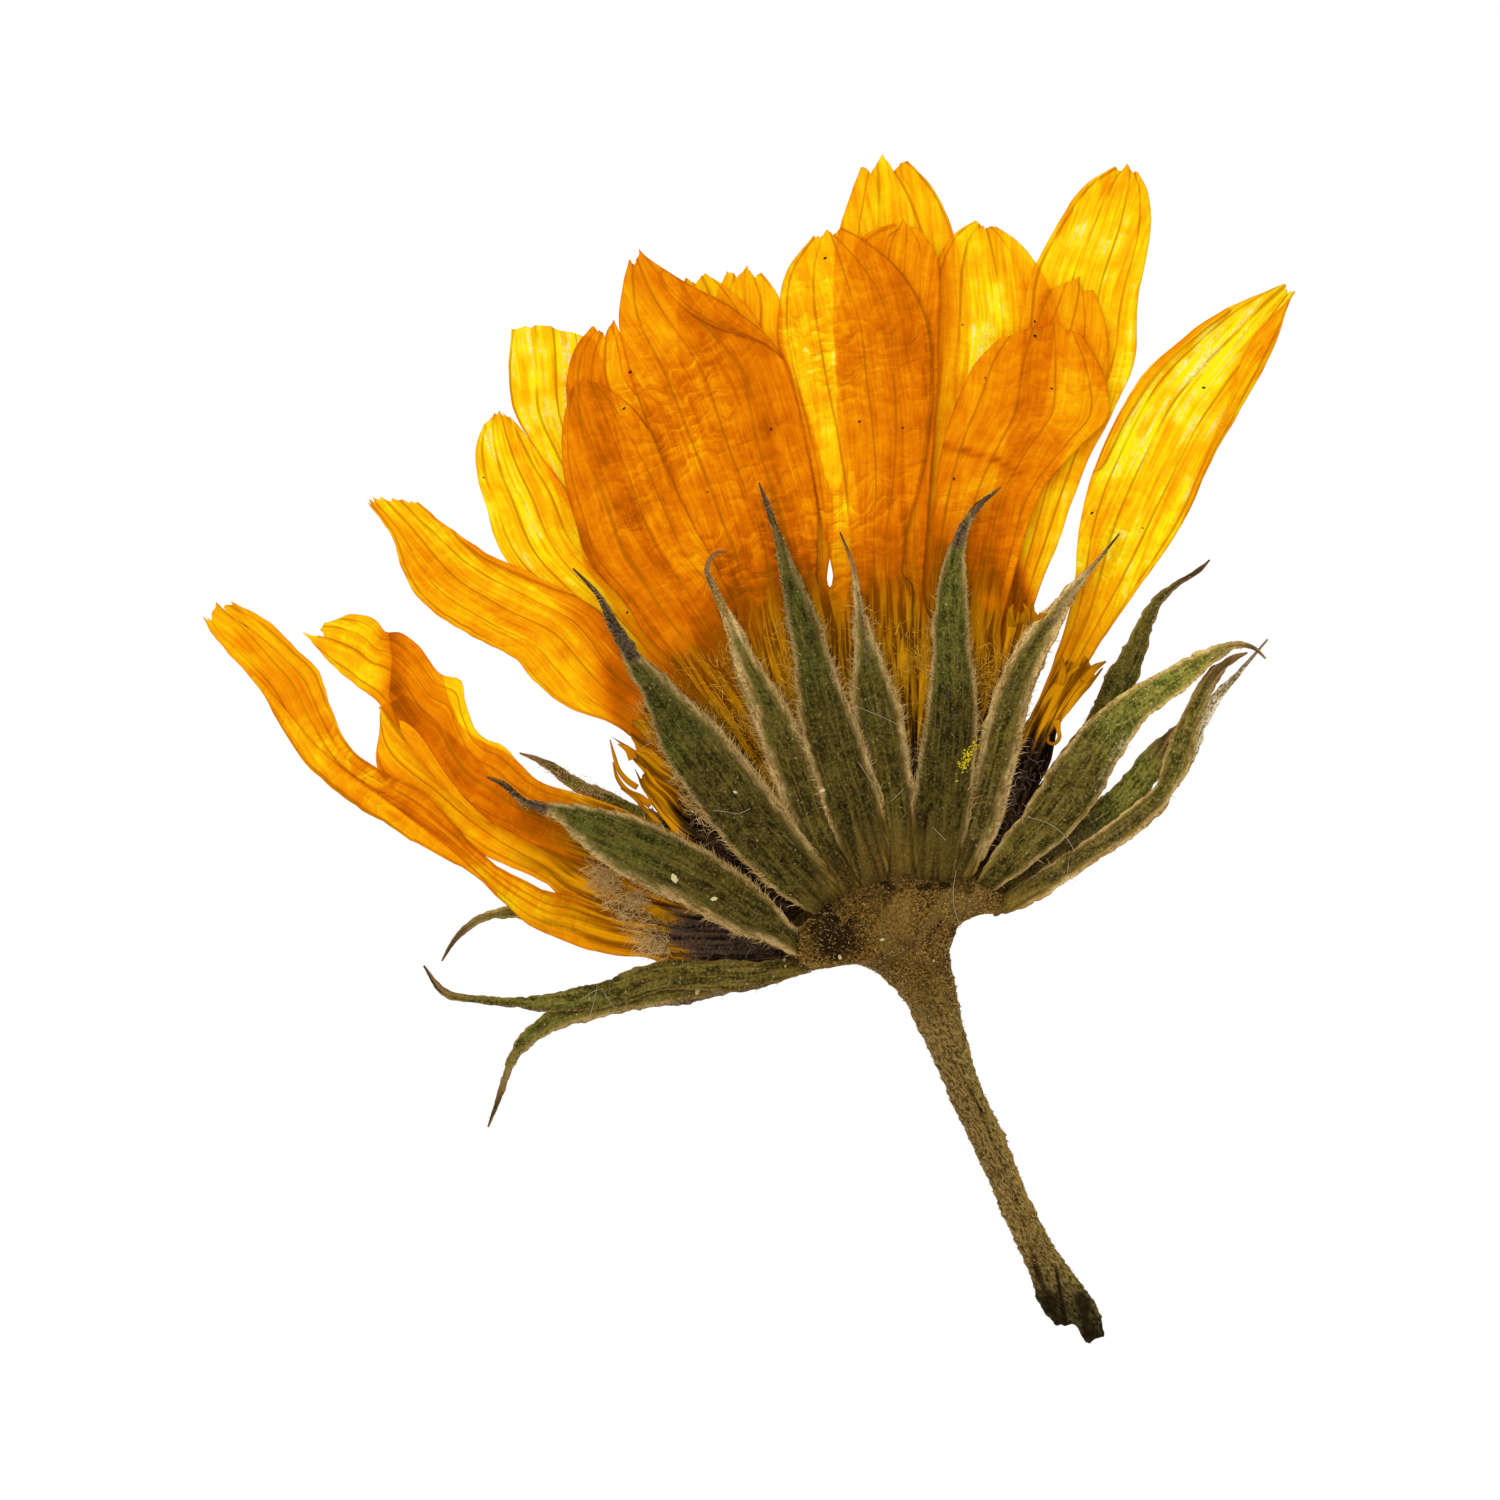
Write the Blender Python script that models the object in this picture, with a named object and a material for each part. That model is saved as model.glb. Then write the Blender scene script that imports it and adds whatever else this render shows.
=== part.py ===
"""A pressed calendula flower with its cut stalk, lying flat on the plane z = 0.

The origin is on the flat underside of the receptacle. +Y runs from the stalk to the petals and +Z
is up, towards the side with the green bracts. Petals, bracts and disc florets are thin sheets. Each
has an outline in plan and a layer of the pressed stack, and its height is its layer times the height
of one layer at that point, so that sheets of different layers never touch.
"""
import math
from collections import namedtuple

import bmesh
import bpy
from mathutils import Vector
from mathutils.geometry import interpolate_bezier

MM = 0.001

# Driving dimensions, in millimetres
RAY_THICKNESS = 0.08
BRACT_THICKNESS = 0.12
FLORET_THICKNESS = 0.14
LAYER_HEIGHT = 0.24
OUTER_SHARE = 0.60
HEAD_CENTRE = (0.0, 0.0)
HEAD_RADIUS = 5.0
OUTER_RADIUS = 13.0
RIPPLE_SHARE = 0.06
RIPPLE_LENGTH = 15.0
FLOOR_CLEARANCE = 0.01
HEAD_HEIGHT = 2.30
STALK_HEIGHT = 0.90
SIDE_SHARE = 0.35

# Shares of a sheet's length
TIP_SHARE = 0.14
SETTLE_SHARE = 0.60

# How finely the sheets are divided
RAY_STATION = 1.8
BRACT_STATION = 1.05
STALK_STATION = 1.2
FEWEST_ROWS = 7
TIP_CROWDING = 1.35
RAY_COLUMNS = 4
BRACT_COLUMNS = 2
STALK_COLUMNS = 6
CURVE_STEPS = 8

Blade = namedtuple("Blade", "layer tip_layer left right tip")
Bract = namedtuple("Bract", "layer tip_layer spine")

# Petals, clockwise from the far left one: edges from the ovary outwards, then the teeth of the tip
RAYS = (
    Blade(3.6, 0.4,
          ((-3.9, -1.75), (-7.5, -1.95), (-10.4, -1.65), (-12.5, -0.7), (-14.3, 0.9), (-17.0, 2.4),
           (-19.9, 4.6), (-21.4, 7.0), (-22.9, 8.8)),
          ((-3.9, -1.25), (-8.3, -0.95), (-10.5, -0.3), (-12.3, 0.5), (-13.6, 1.2), (-15.5, 3.3),
           (-18.4, 5.2), (-19.0, 6.5), (-19.5, 7.7), (-20.4, 8.6), (-21.4, 9.5)),
          ((-23.3, 9.4), (-23.05, 9.4), (-22.85, 9.85), (-22.6, 9.65), (-22.3, 9.95))),
    Blade(2.5, 0.8,
          ((-3.9, -1.15), (-8.2, -0.8), (-10.5, 0.0), (-12.3, 0.8), (-13.7, 1.4), (-15.8, 2.9),
           (-17.5, 4.6)),
          ((-3.8, -0.65), (-8.2, 0.05), (-9.8, 1.2), (-11.5, 2.5), (-13.6, 4.2), (-15.4, 5.9)),
          ((-17.4, 5.6), (-17.35, 6.4), (-16.6, 6.9))),
    Blade(5.0, 1.6,
          ((-3.8, -0.5), (-8.0, 1.6), (-11.0, 2.7), (-13.0, 2.6), (-14.5, 2.9), (-15.8, 4.4),
           (-17.3, 6.5), (-18.8, 7.7)),
          ((-3.6, 0.0), (-8.2, 2.6), (-10.3, 3.4), (-12.2, 4.1), (-13.6, 5.5), (-14.3, 6.6),
           (-14.9, 7.4), (-15.8, 8.3), (-16.6, 9.0), (-17.4, 9.3), (-18.2, 9.47)),
          ((-19.6, 8.4), (-19.75, 8.9), (-19.3, 9.2), (-18.7, 9.35))),
    Blade(4.0, 3.2,
          ((-3.5, 0.15), (-6.5, 3.0), (-9.1, 5.6), (-11.0, 6.4), (-12.0, 7.1), (-12.8, 8.05),
           (-14.6, 8.95), (-15.9, 9.9), (-16.5, 10.8), (-17.1, 12.3)),
          ((-3.1, 0.6), (-6.2, 4.6), (-8.6, 7.6), (-10.0, 9.6), (-11.7, 10.6), (-14.3, 11.9),
           (-15.3, 12.6)),
          ((-17.7, 13.25), (-17.5, 13.4), (-16.8, 13.35), (-16.1, 13.25))),
    Blade(3.0, 2.2,
          ((-3.1, 0.7), (-6.6, 5.4), (-9.9, 8.6), (-12.0, 10.3), (-13.3, 11.6), (-13.8, 13.0),
           (-14.15, 14.3), (-14.1, 15.3)),
          ((-2.7, 1.0), (-6.0, 5.8), (-9.1, 9.0), (-10.4, 11.0), (-10.7, 12.4), (-11.1, 13.5),
           (-12.0, 14.9), (-12.7, 15.8)),
          ((-13.85, 15.9), (-13.4, 16.3), (-13.0, 16.1))),
    Blade(2.0, 0.2,
          ((-2.7, 1.05), (-5.8, 5.8), (-8.6, 9.6), (-10.6, 12.4), (-12.1, 14.9), (-12.9, 16.4),
           (-13.05, 17.8)),
          ((-2.3, 1.3), (-5.2, 6.4), (-7.6, 10.0), (-8.9, 12.8), (-9.4, 15.5), (-9.8, 17.5)),
          ((-13.0, 19.1), (-12.0, 19.2), (-11.0, 19.0), (-10.2, 18.7))),
    Blade(6.0, 5.0,
          ((-2.3, 1.25), (-5.2, 5.8), (-8.3, 9.3), (-10.3, 11.2), (-11.0, 13.2), (-11.3, 14.9),
           (-11.2, 16.2)),
          ((-1.9, 1.5), (-4.2, 6.5), (-5.8, 10.0), (-7.0, 13.0), (-8.0, 15.2), (-9.0, 16.5)),
          ((-10.95, 17.1), (-10.5, 17.35), (-9.9, 17.2))),
    Blade(5.0, 4.0,
          ((-2.0, 1.3), (-4.8, 6.2), (-7.8, 10.6), (-9.8, 13.5), (-10.9, 15.6), (-11.1, 17.4),
           (-10.8, 18.5)),
          ((-1.6, 1.5), (-3.8, 6.5), (-5.4, 10.5), (-6.6, 14.0), (-7.6, 16.1), (-8.9, 17.5),
           (-9.2, 18.5)),
          ((-10.25, 19.15), (-9.85, 18.85), (-9.55, 19.4))),
    Blade(7.0, 5.5,
          ((-1.65, 1.4), (-3.9, 6.6), (-6.0, 10.8), (-7.8, 14.4), (-9.0, 17.6), (-9.4, 19.3),
           (-9.25, 20.5)),
          ((-1.25, 1.6), (-2.6, 6.6), (-2.8, 10.5), (-2.75, 13.0), (-3.2, 15.6), (-3.9, 18.1),
           (-5.5, 19.7), (-7.4, 20.75)),
          ((-9.05, 21.35), (-8.85, 21.2), (-8.65, 21.6), (-8.1, 21.2))),
    Blade(4.0, 3.0,
          ((-1.3, 1.45), (-3.2, 6.5), (-5.0, 11.0), (-6.6, 15.5), (-7.4, 18.5), (-7.35, 20.1)),
          ((-0.9, 1.7), (-2.4, 7.0), (-3.3, 12.0), (-4.1, 16.5), (-4.7, 19.2), (-5.7, 20.4)),
          ((-7.15, 20.75), (-6.85, 20.6), (-6.5, 20.9), (-6.15, 20.7))),
    Blade(3.0, 2.0,
          ((-1.0, 1.55), (-2.5, 6.5), (-3.9, 11.5), (-5.4, 16.0), (-6.2, 19.0), (-6.1, 20.3)),
          ((-0.6, 1.75), (-1.8, 6.5), (-2.6, 10.9), (-2.8, 12.8), (-3.4, 16.0), (-3.95, 18.6),
           (-4.05, 20.2)),
          ((-5.78, 21.0), (-5.45, 20.85), (-5.1, 21.1), (-4.85, 20.85), (-4.6, 20.95))),
    Blade(6.0, 5.5,
          ((-0.6, 1.7), (-1.6, 6.5), (-2.25, 10.9), (-2.6, 12.6), (-3.2, 15.2), (-3.9, 17.7),
           (-4.05, 19.5), (-3.75, 21.0)),
          ((-0.15, 1.85), (-0.2, 7.0), (0.2, 12.0), (0.9, 15.0), (1.1, 17.5), (0.75, 19.8),
           (-0.3, 21.3), (-1.3, 22.1)),
          ((-2.9, 22.15), (-2.66, 22.1), (-2.43, 22.35), (-2.2, 22.2), (-1.95, 22.45))),
    Blade(5.0, 4.3,
          ((-0.2, 1.75), (-0.9, 6.5), (-1.6, 12.0), (-2.1, 17.0), (-1.9, 20.5), (-1.2, 22.15)),
          ((0.2, 1.85), (0.5, 7.0), (0.9, 12.5), (1.2, 16.5), (1.3, 19.5), (1.1, 21.8)),
          ((-0.22, 22.6), (-0.05, 22.45), (0.12, 22.7), (0.3, 22.45), (0.52, 22.5))),
    Blade(2.0, 0.2,
          ((0.15, 1.75), (-0.6, 7.5), (-1.5, 14.0), (-2.2, 19.0), (-2.05, 22.2), (-1.6, 23.7)),
          ((0.55, 1.8), (1.2, 7.5), (2.0, 14.0), (2.3, 19.0), (1.8, 22.3), (1.0, 23.9)),
          ((-1.27, 24.5), (-0.95, 24.35), (-0.57, 24.83), (-0.2, 24.45), (0.23, 24.73))),
    Blade(3.0, 2.0,
          ((0.55, 1.7), (0.5, 7.5), (0.6, 14.0), (0.85, 18.5), (1.25, 21.4), (1.9, 22.3)),
          ((0.95, 1.75), (2.2, 7.5), (3.7, 12.5), (5.1, 17.0), (5.3, 19.5), (4.6, 21.2),
           (3.8, 22.1)),
          ((2.53, 22.7), (2.85, 22.45), (3.2, 22.5))),
    Blade(7.0, 6.4,
          ((0.95, 1.6), (1.1, 7.0), (1.1, 12.0), (1.4, 15.0), (2.0, 16.9), (2.6, 18.0)),
          ((1.4, 1.6), (2.9, 7.0), (4.0, 11.5), (4.8, 13.7), (6.1, 15.2), (6.95, 16.1),
           (6.8, 17.5)),
          ((3.3, 18.7), (4.3, 19.05), (5.2, 19.2), (6.1, 18.8))),
    Blade(5.0, 4.4,
          ((1.35, 1.5), (2.0, 7.5), (3.0, 13.0), (3.9, 17.0), (4.4, 19.2)),
          ((1.75, 1.5), (2.9, 7.5), (4.0, 12.2), (5.2, 14.4), (6.3, 16.2), (6.9, 17.6),
           (6.75, 19.6)),
          ((4.9, 20.35), (5.93, 20.7), (6.1, 20.3), (6.45, 20.35))),
    Blade(4.0, 2.6,
          ((1.75, 1.4), (2.6, 7.5), (3.2, 12.5), (3.9, 17.0), (4.3, 20.5), (5.1, 22.3),
           (6.3, 24.0)),
          ((2.2, 1.35), (3.6, 7.5), (4.6, 10.2), (5.3, 12.0), (6.0, 14.0), (7.0, 16.1),
           (7.85, 18.0), (7.95, 20.0), (8.4, 22.8), (8.25, 23.7)),
          ((7.17, 24.5), (7.38, 24.35), (7.6, 24.57), (7.78, 24.3), (7.93, 24.33))),
    Blade(6.0, 0.4,
          ((2.5, 1.3), (3.8, 5.0), (5.0, 7.6), (5.65, 9.6), (5.85, 11.0), (6.05, 12.8),
           (7.0, 15.6), (8.0, 17.4), (9.5, 18.8), (11.2, 19.9)),
          ((2.9, 1.1), (4.6, 5.0), (6.4, 8.1), (7.3, 9.5), (9.2, 12.2), (10.7, 15.2),
           (12.3, 18.0), (13.05, 19.9)),
          ((12.5, 20.45), (12.83, 20.57), (13.0, 20.3), (13.23, 20.33))),
)

# Bracts: middle line from the receptacle outwards, with half the width at each point
BRACTS = (
    Bract(5.0, 1.2,
          ((-3.65, -2.3, 0.3), (-5.0, -2.47, 0.44), (-8.0, -2.55, 0.5), (-10.0, -3.2, 0.45),
           (-12.0, -3.43, 0.27), (-14.0, -3.33, 0.13), (-15.2, -3.1, 0.13), (-15.9, -2.2, 0.03))),
    Bract(3.5, 0.0,
          ((-3.75, -2.45, 0.25), (-7.0, -3.0, 0.4), (-10.5, -3.7, 0.36), (-12.0, -4.3, 0.32),
           (-12.9, -5.3, 0.2), (-13.3, -6.4, 0.12), (-13.75, -7.6, 0.03))),
    Bract(9.0, 7.0,
          ((-3.75, -1.25, 0.4), (-5.2, -0.3, 0.9), (-7.0, 0.85, 1.0), (-9.0, 1.8, 1.0),
           (-10.5, 2.55, 0.65), (-11.5, 3.0, 0.3), (-12.5, 3.25, 0.14), (-13.2, 3.85, 0.1),
           (-13.75, 4.1, 0.04))),
    Bract(10.0, 6.0,
          ((-2.55, 0.05, 0.55), (-3.7, 1.2, 0.95), (-4.9, 2.6, 1.15), (-6.0, 4.0, 1.15),
           (-7.2, 5.6, 0.95), (-8.1, 7.0, 0.55), (-8.8, 7.9, 0.35), (-9.4, 8.9, 0.2),
           (-10.0, 10.1, 0.1), (-10.9, 11.05, 0.03))),
    Bract(9.0, 8.0,
          ((-1.95, 0.7, 0.5), (-2.8, 2.2, 0.75), (-3.4, 3.8, 0.75), (-4.0, 5.4, 0.72),
           (-4.7, 7.0, 0.52), (-5.3, 8.3, 0.38), (-5.75, 9.4, 0.22), (-6.15, 10.3, 0.12),
           (-6.42, 11.1, 0.08), (-6.1, 11.58, 0.05), (-5.8, 11.6, 0.03))),
    Bract(10.0, 8.5,
          ((-0.95, 1.0, 0.5), (-1.3, 2.2, 0.8), (-1.8, 4.0, 0.95), (-2.3, 5.6, 0.95),
           (-2.75, 7.2, 0.75), (-3.15, 9.0, 0.55), (-3.6, 10.5, 0.4), (-3.95, 11.7, 0.2),
           (-4.3, 12.8, 0.12), (-4.7, 13.9, 0.03))),
    Bract(9.0, 8.0,
          ((0.0, 1.25, 0.5), (-0.2, 3.0, 0.7), (-0.5, 5.0, 0.75), (-0.85, 6.6, 0.8),
           (-1.1, 8.0, 0.5), (-1.3, 9.2, 0.28), (-1.45, 10.3, 0.14), (-1.6, 11.2, 0.07),
           (-2.0, 12.25, 0.03))),
    Bract(10.0, 8.5,
          ((1.15, 1.0, 0.55), (1.3, 2.5, 0.85), (1.55, 4.5, 0.95), (1.72, 6.5, 0.85),
           (1.7, 8.5, 0.68), (1.7, 10.0, 0.56), (1.78, 11.2, 0.4), (2.05, 12.2, 0.22),
           (2.5, 13.0, 0.14), (3.35, 13.75, 0.03))),
    Bract(9.0, 7.5,
          ((2.0, 1.1, 0.4), (2.6, 2.6, 0.6), (3.1, 4.3, 0.7), (3.5, 6.0, 0.68), (3.95, 7.4, 0.62),
           (4.55, 8.6, 0.5), (5.2, 9.6, 0.36), (5.85, 10.5, 0.2), (6.4, 11.1, 0.1),
           (7.3, 12.2, 0.03))),
    Bract(9.0, 4.0,
          ((3.1, 0.8, 0.35), (4.05, 1.8, 0.65), (5.15, 2.95, 0.88), (6.0, 4.2, 0.92),
           (6.75, 5.35, 0.82), (7.65, 6.35, 0.62), (8.7, 7.05, 0.5), (9.7, 7.7, 0.4),
           (10.5, 8.2, 0.25), (11.2, 8.5, 0.13), (11.8, 8.4, 0.07), (12.2, 8.05, 0.03))),
    Bract(3.0, 1.0,
          ((3.3, 1.2, 0.3), (4.5, 2.8, 0.45), (5.8, 4.6, 0.5), (6.75, 6.0, 0.5), (7.4, 7.3, 0.52),
           (7.88, 8.3, 0.38), (8.2, 9.2, 0.27), (8.65, 10.0, 0.18), (9.2, 10.5, 0.12),
           (10.1, 11.1, 0.07), (10.35, 11.35, 0.03))),
    Bract(6.0, 2.0,
          ((3.75, -0.02, 0.33), (4.8, 0.6, 0.42), (6.2, 1.55, 0.42), (7.7, 2.6, 0.42),
           (8.75, 3.6, 0.4), (9.3, 4.8, 0.44), (9.62, 5.8, 0.36), (10.05, 6.7, 0.28),
           (10.5, 7.5, 0.22), (11.1, 8.05, 0.12), (11.6, 8.25, 0.03))),
    Bract(4.0, 1.0,
          ((3.85, 0.55, 0.3), (5.2, 1.7, 0.42), (6.4, 2.6, 0.45), (7.5, 3.45, 0.48),
           (8.3, 4.4, 0.46), (8.9, 5.2, 0.3), (9.35, 5.85, 0.05))),
    Bract(1.0, 0.0,
          ((4.1, 0.4, 0.25), (6.5, 1.9, 0.3), (8.6, 3.4, 0.3), (9.6, 4.7, 0.25), (10.1, 5.8, 0.2),
           (10.45, 6.6, 0.22), (11.0, 7.2, 0.12), (11.7, 8.0, 0.06), (12.3, 8.7, 0.03))),
    Bract(1.0, 1.0,
          ((-3.75, -0.3, 0.28), (-6.0, 1.4, 0.35), (-8.0, 2.5, 0.35), (-9.0, 2.95, 0.3),
           (-10.0, 3.4, 0.28), (-11.0, 4.0, 0.2), (-12.0, 4.65, 0.12), (-12.7, 4.9, 0.03))),
    Bract(1.0, 0.6,
          ((-3.85, -1.55, 0.28), (-8.0, -1.2, 0.36), (-11.0, -0.65, 0.36), (-13.0, -0.42, 0.22),
           (-14.0, -0.65, 0.15), (-14.9, -1.4, 0.08), (-15.3, -2.05, 0.03))),
)

# Disc florets, left to right: edges from the ovary outwards, then the lobes of the mouth
FLORETS = (
    Blade(8.0, 7.4,
          ((-4.1, 0.1), (-6.0, 1.5), (-7.6, 2.15), (-8.3, 2.95), (-8.7, 3.45), (-9.2, 3.75)),
          ((-3.9, 0.4), (-5.8, 2.0), (-7.3, 2.9), (-8.2, 3.8)),
          ((-9.5, 4.4), (-9.2, 4.05), (-8.85, 4.2))),
    Blade(7.0, 5.0,
          ((-4.1, 0.5), (-6.0, 2.2), (-7.6, 3.1), (-8.6, 4.0), (-9.2, 4.5)),
          ((-3.8, 0.8), (-5.7, 2.7), (-7.0, 3.8), (-8.0, 4.8), (-8.7, 5.3)),
          ((-9.62, 5.3), (-9.3, 4.95), (-9.35, 5.2), (-9.05, 5.15), (-9.0, 5.5))),
    Blade(6.0, 5.2,
          ((-3.9, 0.9), (-5.6, 2.9), (-6.9, 4.0), (-7.9, 4.9), (-8.6, 5.5)),
          ((-3.6, 1.2), (-5.2, 3.4), (-6.3, 4.6), (-7.2, 5.6), (-7.8, 6.2)),
          ((-9.0, 6.0), (-8.6, 6.1), (-8.5, 6.6), (-8.1, 6.5))),
    Blade(8.0, 7.6,
          ((2.2, 1.75), (2.7, 4.5), (3.2, 7.0), (3.45, 8.6)),
          ((2.6, 1.7), (3.4, 4.5), (4.2, 7.0), (4.75, 8.7)),
          ((3.6, 9.75), (4.0, 9.6), (4.4, 9.8), (4.6, 9.5), (4.85, 9.6))),
    Blade(8.0, 7.0,
          ((2.9, 1.5), (3.9, 4.2), (4.5, 5.8), (5.0, 7.2)),
          ((3.2, 1.3), (4.4, 4.2), (5.4, 6.0), (6.3, 7.1)),
          ((5.6, 8.0), (6.0, 7.85), (6.2, 8.05), (6.5, 7.6), (6.8, 7.75))),
)

# Stalk, from the rim of the receptacle down to the cut end
STALK_LEFT = ((3.35, -0.35), (2.6, -0.5), (1.95, -0.85), (1.7, -1.6), (1.9, -3.0), (2.3, -4.95),
              (2.67, -6.1), (3.5, -7.9), (4.2, -9.7), (5.2, -11.6), (6.1, -12.9), (6.6, -13.6))
STALK_RIGHT = ((-3.3, -2.3), (-2.4, -2.25), (-1.4, -2.15), (-0.37, -2.75), (0.77, -4.6),
               (1.7, -6.7), (2.43, -8.2), (3.6, -10.9), (4.33, -12.45), (4.7, -13.6))
STALK_RIM = ((3.4, 0.2), (2.2, 0.72), (1.2, 0.6), (0.2, 0.85), (-1.2, 0.45), (-2.3, -0.05),
             (-3.4, -0.9))
STALK_END = ((6.86, -14.7), (6.2, -14.9), (5.9, -14.3), (5.2, -14.3))
STALK_PROFILE = ((0.0, HEAD_HEIGHT), (0.12, HEAD_HEIGHT), (0.3, 1.25 * STALK_HEIGHT),
                 (0.45, STALK_HEIGHT), (0.9, 0.9 * STALK_HEIGHT), (1.0, 0.75 * STALK_HEIGHT))
RIM_SHARE = 0.12

# Colours in linear light, then roughness
FINISHES = {
    "ray": ((0.85, 0.30, 0.003), 0.55),
    "bract": ((0.075, 0.065, 0.020), 0.75),
    "floret": ((0.42, 0.17, 0.004), 0.65),
    "stalk": ((0.16, 0.105, 0.035), 0.85),
}


def smooth(low, high, value):
    """Smooth share of the way from low to high."""
    share = min(max((value - low) / (high - low), 0.0), 1.0)
    return share * share * (3.0 - 2.0 * share)


def tangent(before, point, after):
    """Direction of a smooth curve at a point, weighted by the distances to its neighbours."""
    back = (point - before).length
    ahead = (after - point).length
    return ((point - before) * (ahead / back) + (after - point) * (back / ahead)) / (back + ahead)


def smooth_curve(points):
    """Closely spaced points of a smooth curve through the given ones."""
    knots = [Vector(point) for point in points]
    ends = [2.0 * knots[0] - knots[1]] + knots + [2.0 * knots[-1] - knots[-2]]
    slopes = [tangent(*ends[i:i + 3]) for i in range(len(knots))]
    curve = [knots[0]]
    for i in range(len(knots) - 1):
        reach = (knots[i + 1] - knots[i]).length / 3.0
        stretch = interpolate_bezier(knots[i].to_3d(), (knots[i] + slopes[i] * reach).to_3d(),
                                     (knots[i + 1] - slopes[i + 1] * reach).to_3d(),
                                     knots[i + 1].to_3d(), CURVE_STEPS + 1)
        curve.extend(stretch[1:])
    return [point.to_3d() for point in curve]


def spread(curve, shares):
    """Points at the given shares of the length of a line of points."""
    travel = [0.0]
    for before, after in zip(curve, curve[1:]):
        travel.append(travel[-1] + (after - before).length)
    points = []
    for share in shares:
        target = travel[-1] * share
        k = next(j for j in range(1, len(travel)) if travel[j] >= target or j == len(travel) - 1)
        part = (target - travel[k - 1]) / (travel[k] - travel[k - 1])
        points.append(curve[k - 1].lerp(curve[k], part))
    return points


def length_of(curve):
    return sum((after - before).length for before, after in zip(curve, curve[1:]))


def stations_of(length, station):
    """Shares of a length from base to tip, about one station apart and closer near the tip."""
    steps = max(FEWEST_ROWS, round(length / station)) - 1
    return [1.0 - (1.0 - i / steps) ** TIP_CROWDING for i in range(steps + 1)]


def layer_height(x, y):
    """Height of one layer of the pressed stack at a point."""
    distance = math.hypot(x - HEAD_CENTRE[0], y - HEAD_CENTRE[1])
    settled = 1.0 + (OUTER_SHARE - 1.0) * smooth(HEAD_RADIUS, OUTER_RADIUS, distance)
    wave = 2.0 * math.pi / RIPPLE_LENGTH
    ripple = 1.0 + RIPPLE_SHARE * math.sin(wave * x) * math.sin(wave * y)
    return LAYER_HEIGHT * settled * ripple


def layer_at(sheet, share):
    """Layer of a sheet at a share of its length: its outer part settles to the tip's layer."""
    return sheet.layer + (sheet.tip_layer - sheet.layer) * smooth(SETTLE_SHARE, 1.0, share)


def edge_rows(left, right, start, end, shares, columns, start_share):
    """Rows of plan points between two edges; the first and last rows follow their own outlines."""
    left_side = spread(smooth_curve(left), shares)
    right_side = spread(smooth_curve(right), shares)
    first = [Vector(point).to_3d() for point in start]
    last = [Vector(point).to_3d() for point in end]
    rows = []
    for along, a, b in zip(shares, left_side, right_side):
        near_start = 1.0 - smooth(0.0, start_share, along)
        near_end = smooth(1.0 - TIP_SHARE, 1.0, along)
        row = []
        for k in range(columns + 1):
            across = k / columns
            point = a.lerp(b, across)
            point += near_start * (outline_at(first, across) - first[0].lerp(first[-1], across))
            point += near_end * (outline_at(last, across) - last[0].lerp(last[-1], across))
            row.append(point)
        rows.append(row)
    return rows


def outline_at(points, share):
    """Point at a share of the way through a list of points, counted by points."""
    place = share * (len(points) - 1)
    k = min(int(place), len(points) - 2)
    return points[k].lerp(points[k + 1], place - k)


def blade_rows(blade):
    """Rows of a petal or floret and their shares of its length, with the columns its teeth need."""
    left = blade.left + (blade.tip[0],)
    right = blade.right + (blade.tip[-1],)
    shares = stations_of(length_of(smooth_curve(left)), RAY_STATION)
    columns = len(blade.tip) - 1
    columns *= max(1, RAY_COLUMNS // columns)
    base = (blade.left[0], blade.right[0])
    return edge_rows(left, right, base, blade.tip, shares, columns, TIP_SHARE), shares


def bract_rows(bract):
    """Rows of a bract, square to its middle line, and their shares of its length."""
    curve = smooth_curve(bract.spine)
    shares = stations_of(length_of(curve), BRACT_STATION)
    middle = spread(curve, shares)
    rows = []
    for i, point in enumerate(middle):
        ahead = middle[min(i + 1, len(middle) - 1)] - middle[max(i - 1, 0)]
        side = Vector((ahead.y, -ahead.x, 0.0)).normalized()
        centre = Vector((point.x, point.y, 0.0))
        row = [centre + side * point.z * (2.0 * k / BRACT_COLUMNS - 1.0)
               for k in range(BRACT_COLUMNS + 1)]
        rows.append(row)
    return rows, shares


def add_grid(mesh, rows, heights):
    """Faces between rows of points, looking up; returns the rows of vertices."""
    grid = []
    for row, levels in zip(rows, heights):
        grid.append([mesh.verts.new(Vector((p.x, p.y, z)) * MM) for p, z in zip(row, levels)])
    for near, far in zip(grid, grid[1:]):
        for k in range(len(near) - 1):
            mesh.faces.new((near[k], near[k + 1], far[k + 1], far[k]))
    return grid


def material_for(name, kind):
    colour, roughness = FINISHES[kind]
    material = bpy.data.materials.new(name)
    material.use_nodes = True
    shader = material.node_tree.nodes["Principled BSDF"]
    shader.inputs["Base Color"].default_value = (*colour, 1.0)
    shader.inputs["Roughness"].default_value = roughness
    return material


def add_object(name, mesh, kind):
    """Object at the origin from a bmesh, with its own material."""
    data = bpy.data.meshes.new(name)
    mesh.to_mesh(data)
    mesh.free()
    data.shade_smooth()
    data.materials.append(material_for(name, kind))
    thing = bpy.data.objects.new(name, data)
    bpy.context.scene.collection.objects.link(thing)
    return thing


def add_sheet(name, kind, sheet, plan, thickness):
    """One thin piece of the flower: its upper side, with its thickness below it."""
    rows, shares = plan
    heights = []
    for row, along in zip(rows, shares):
        layer = layer_at(sheet, along)
        heights.append([FLOOR_CLEARANCE + thickness + layer * layer_height(p.x, p.y) for p in row])
    mesh = bmesh.new()
    add_grid(mesh, rows, heights)
    thing = add_object(name, mesh, kind)
    solid = thing.modifiers.new("Thickness", "SOLIDIFY")
    solid.thickness = thickness * MM
    solid.offset = -1.0
    return thing


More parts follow.
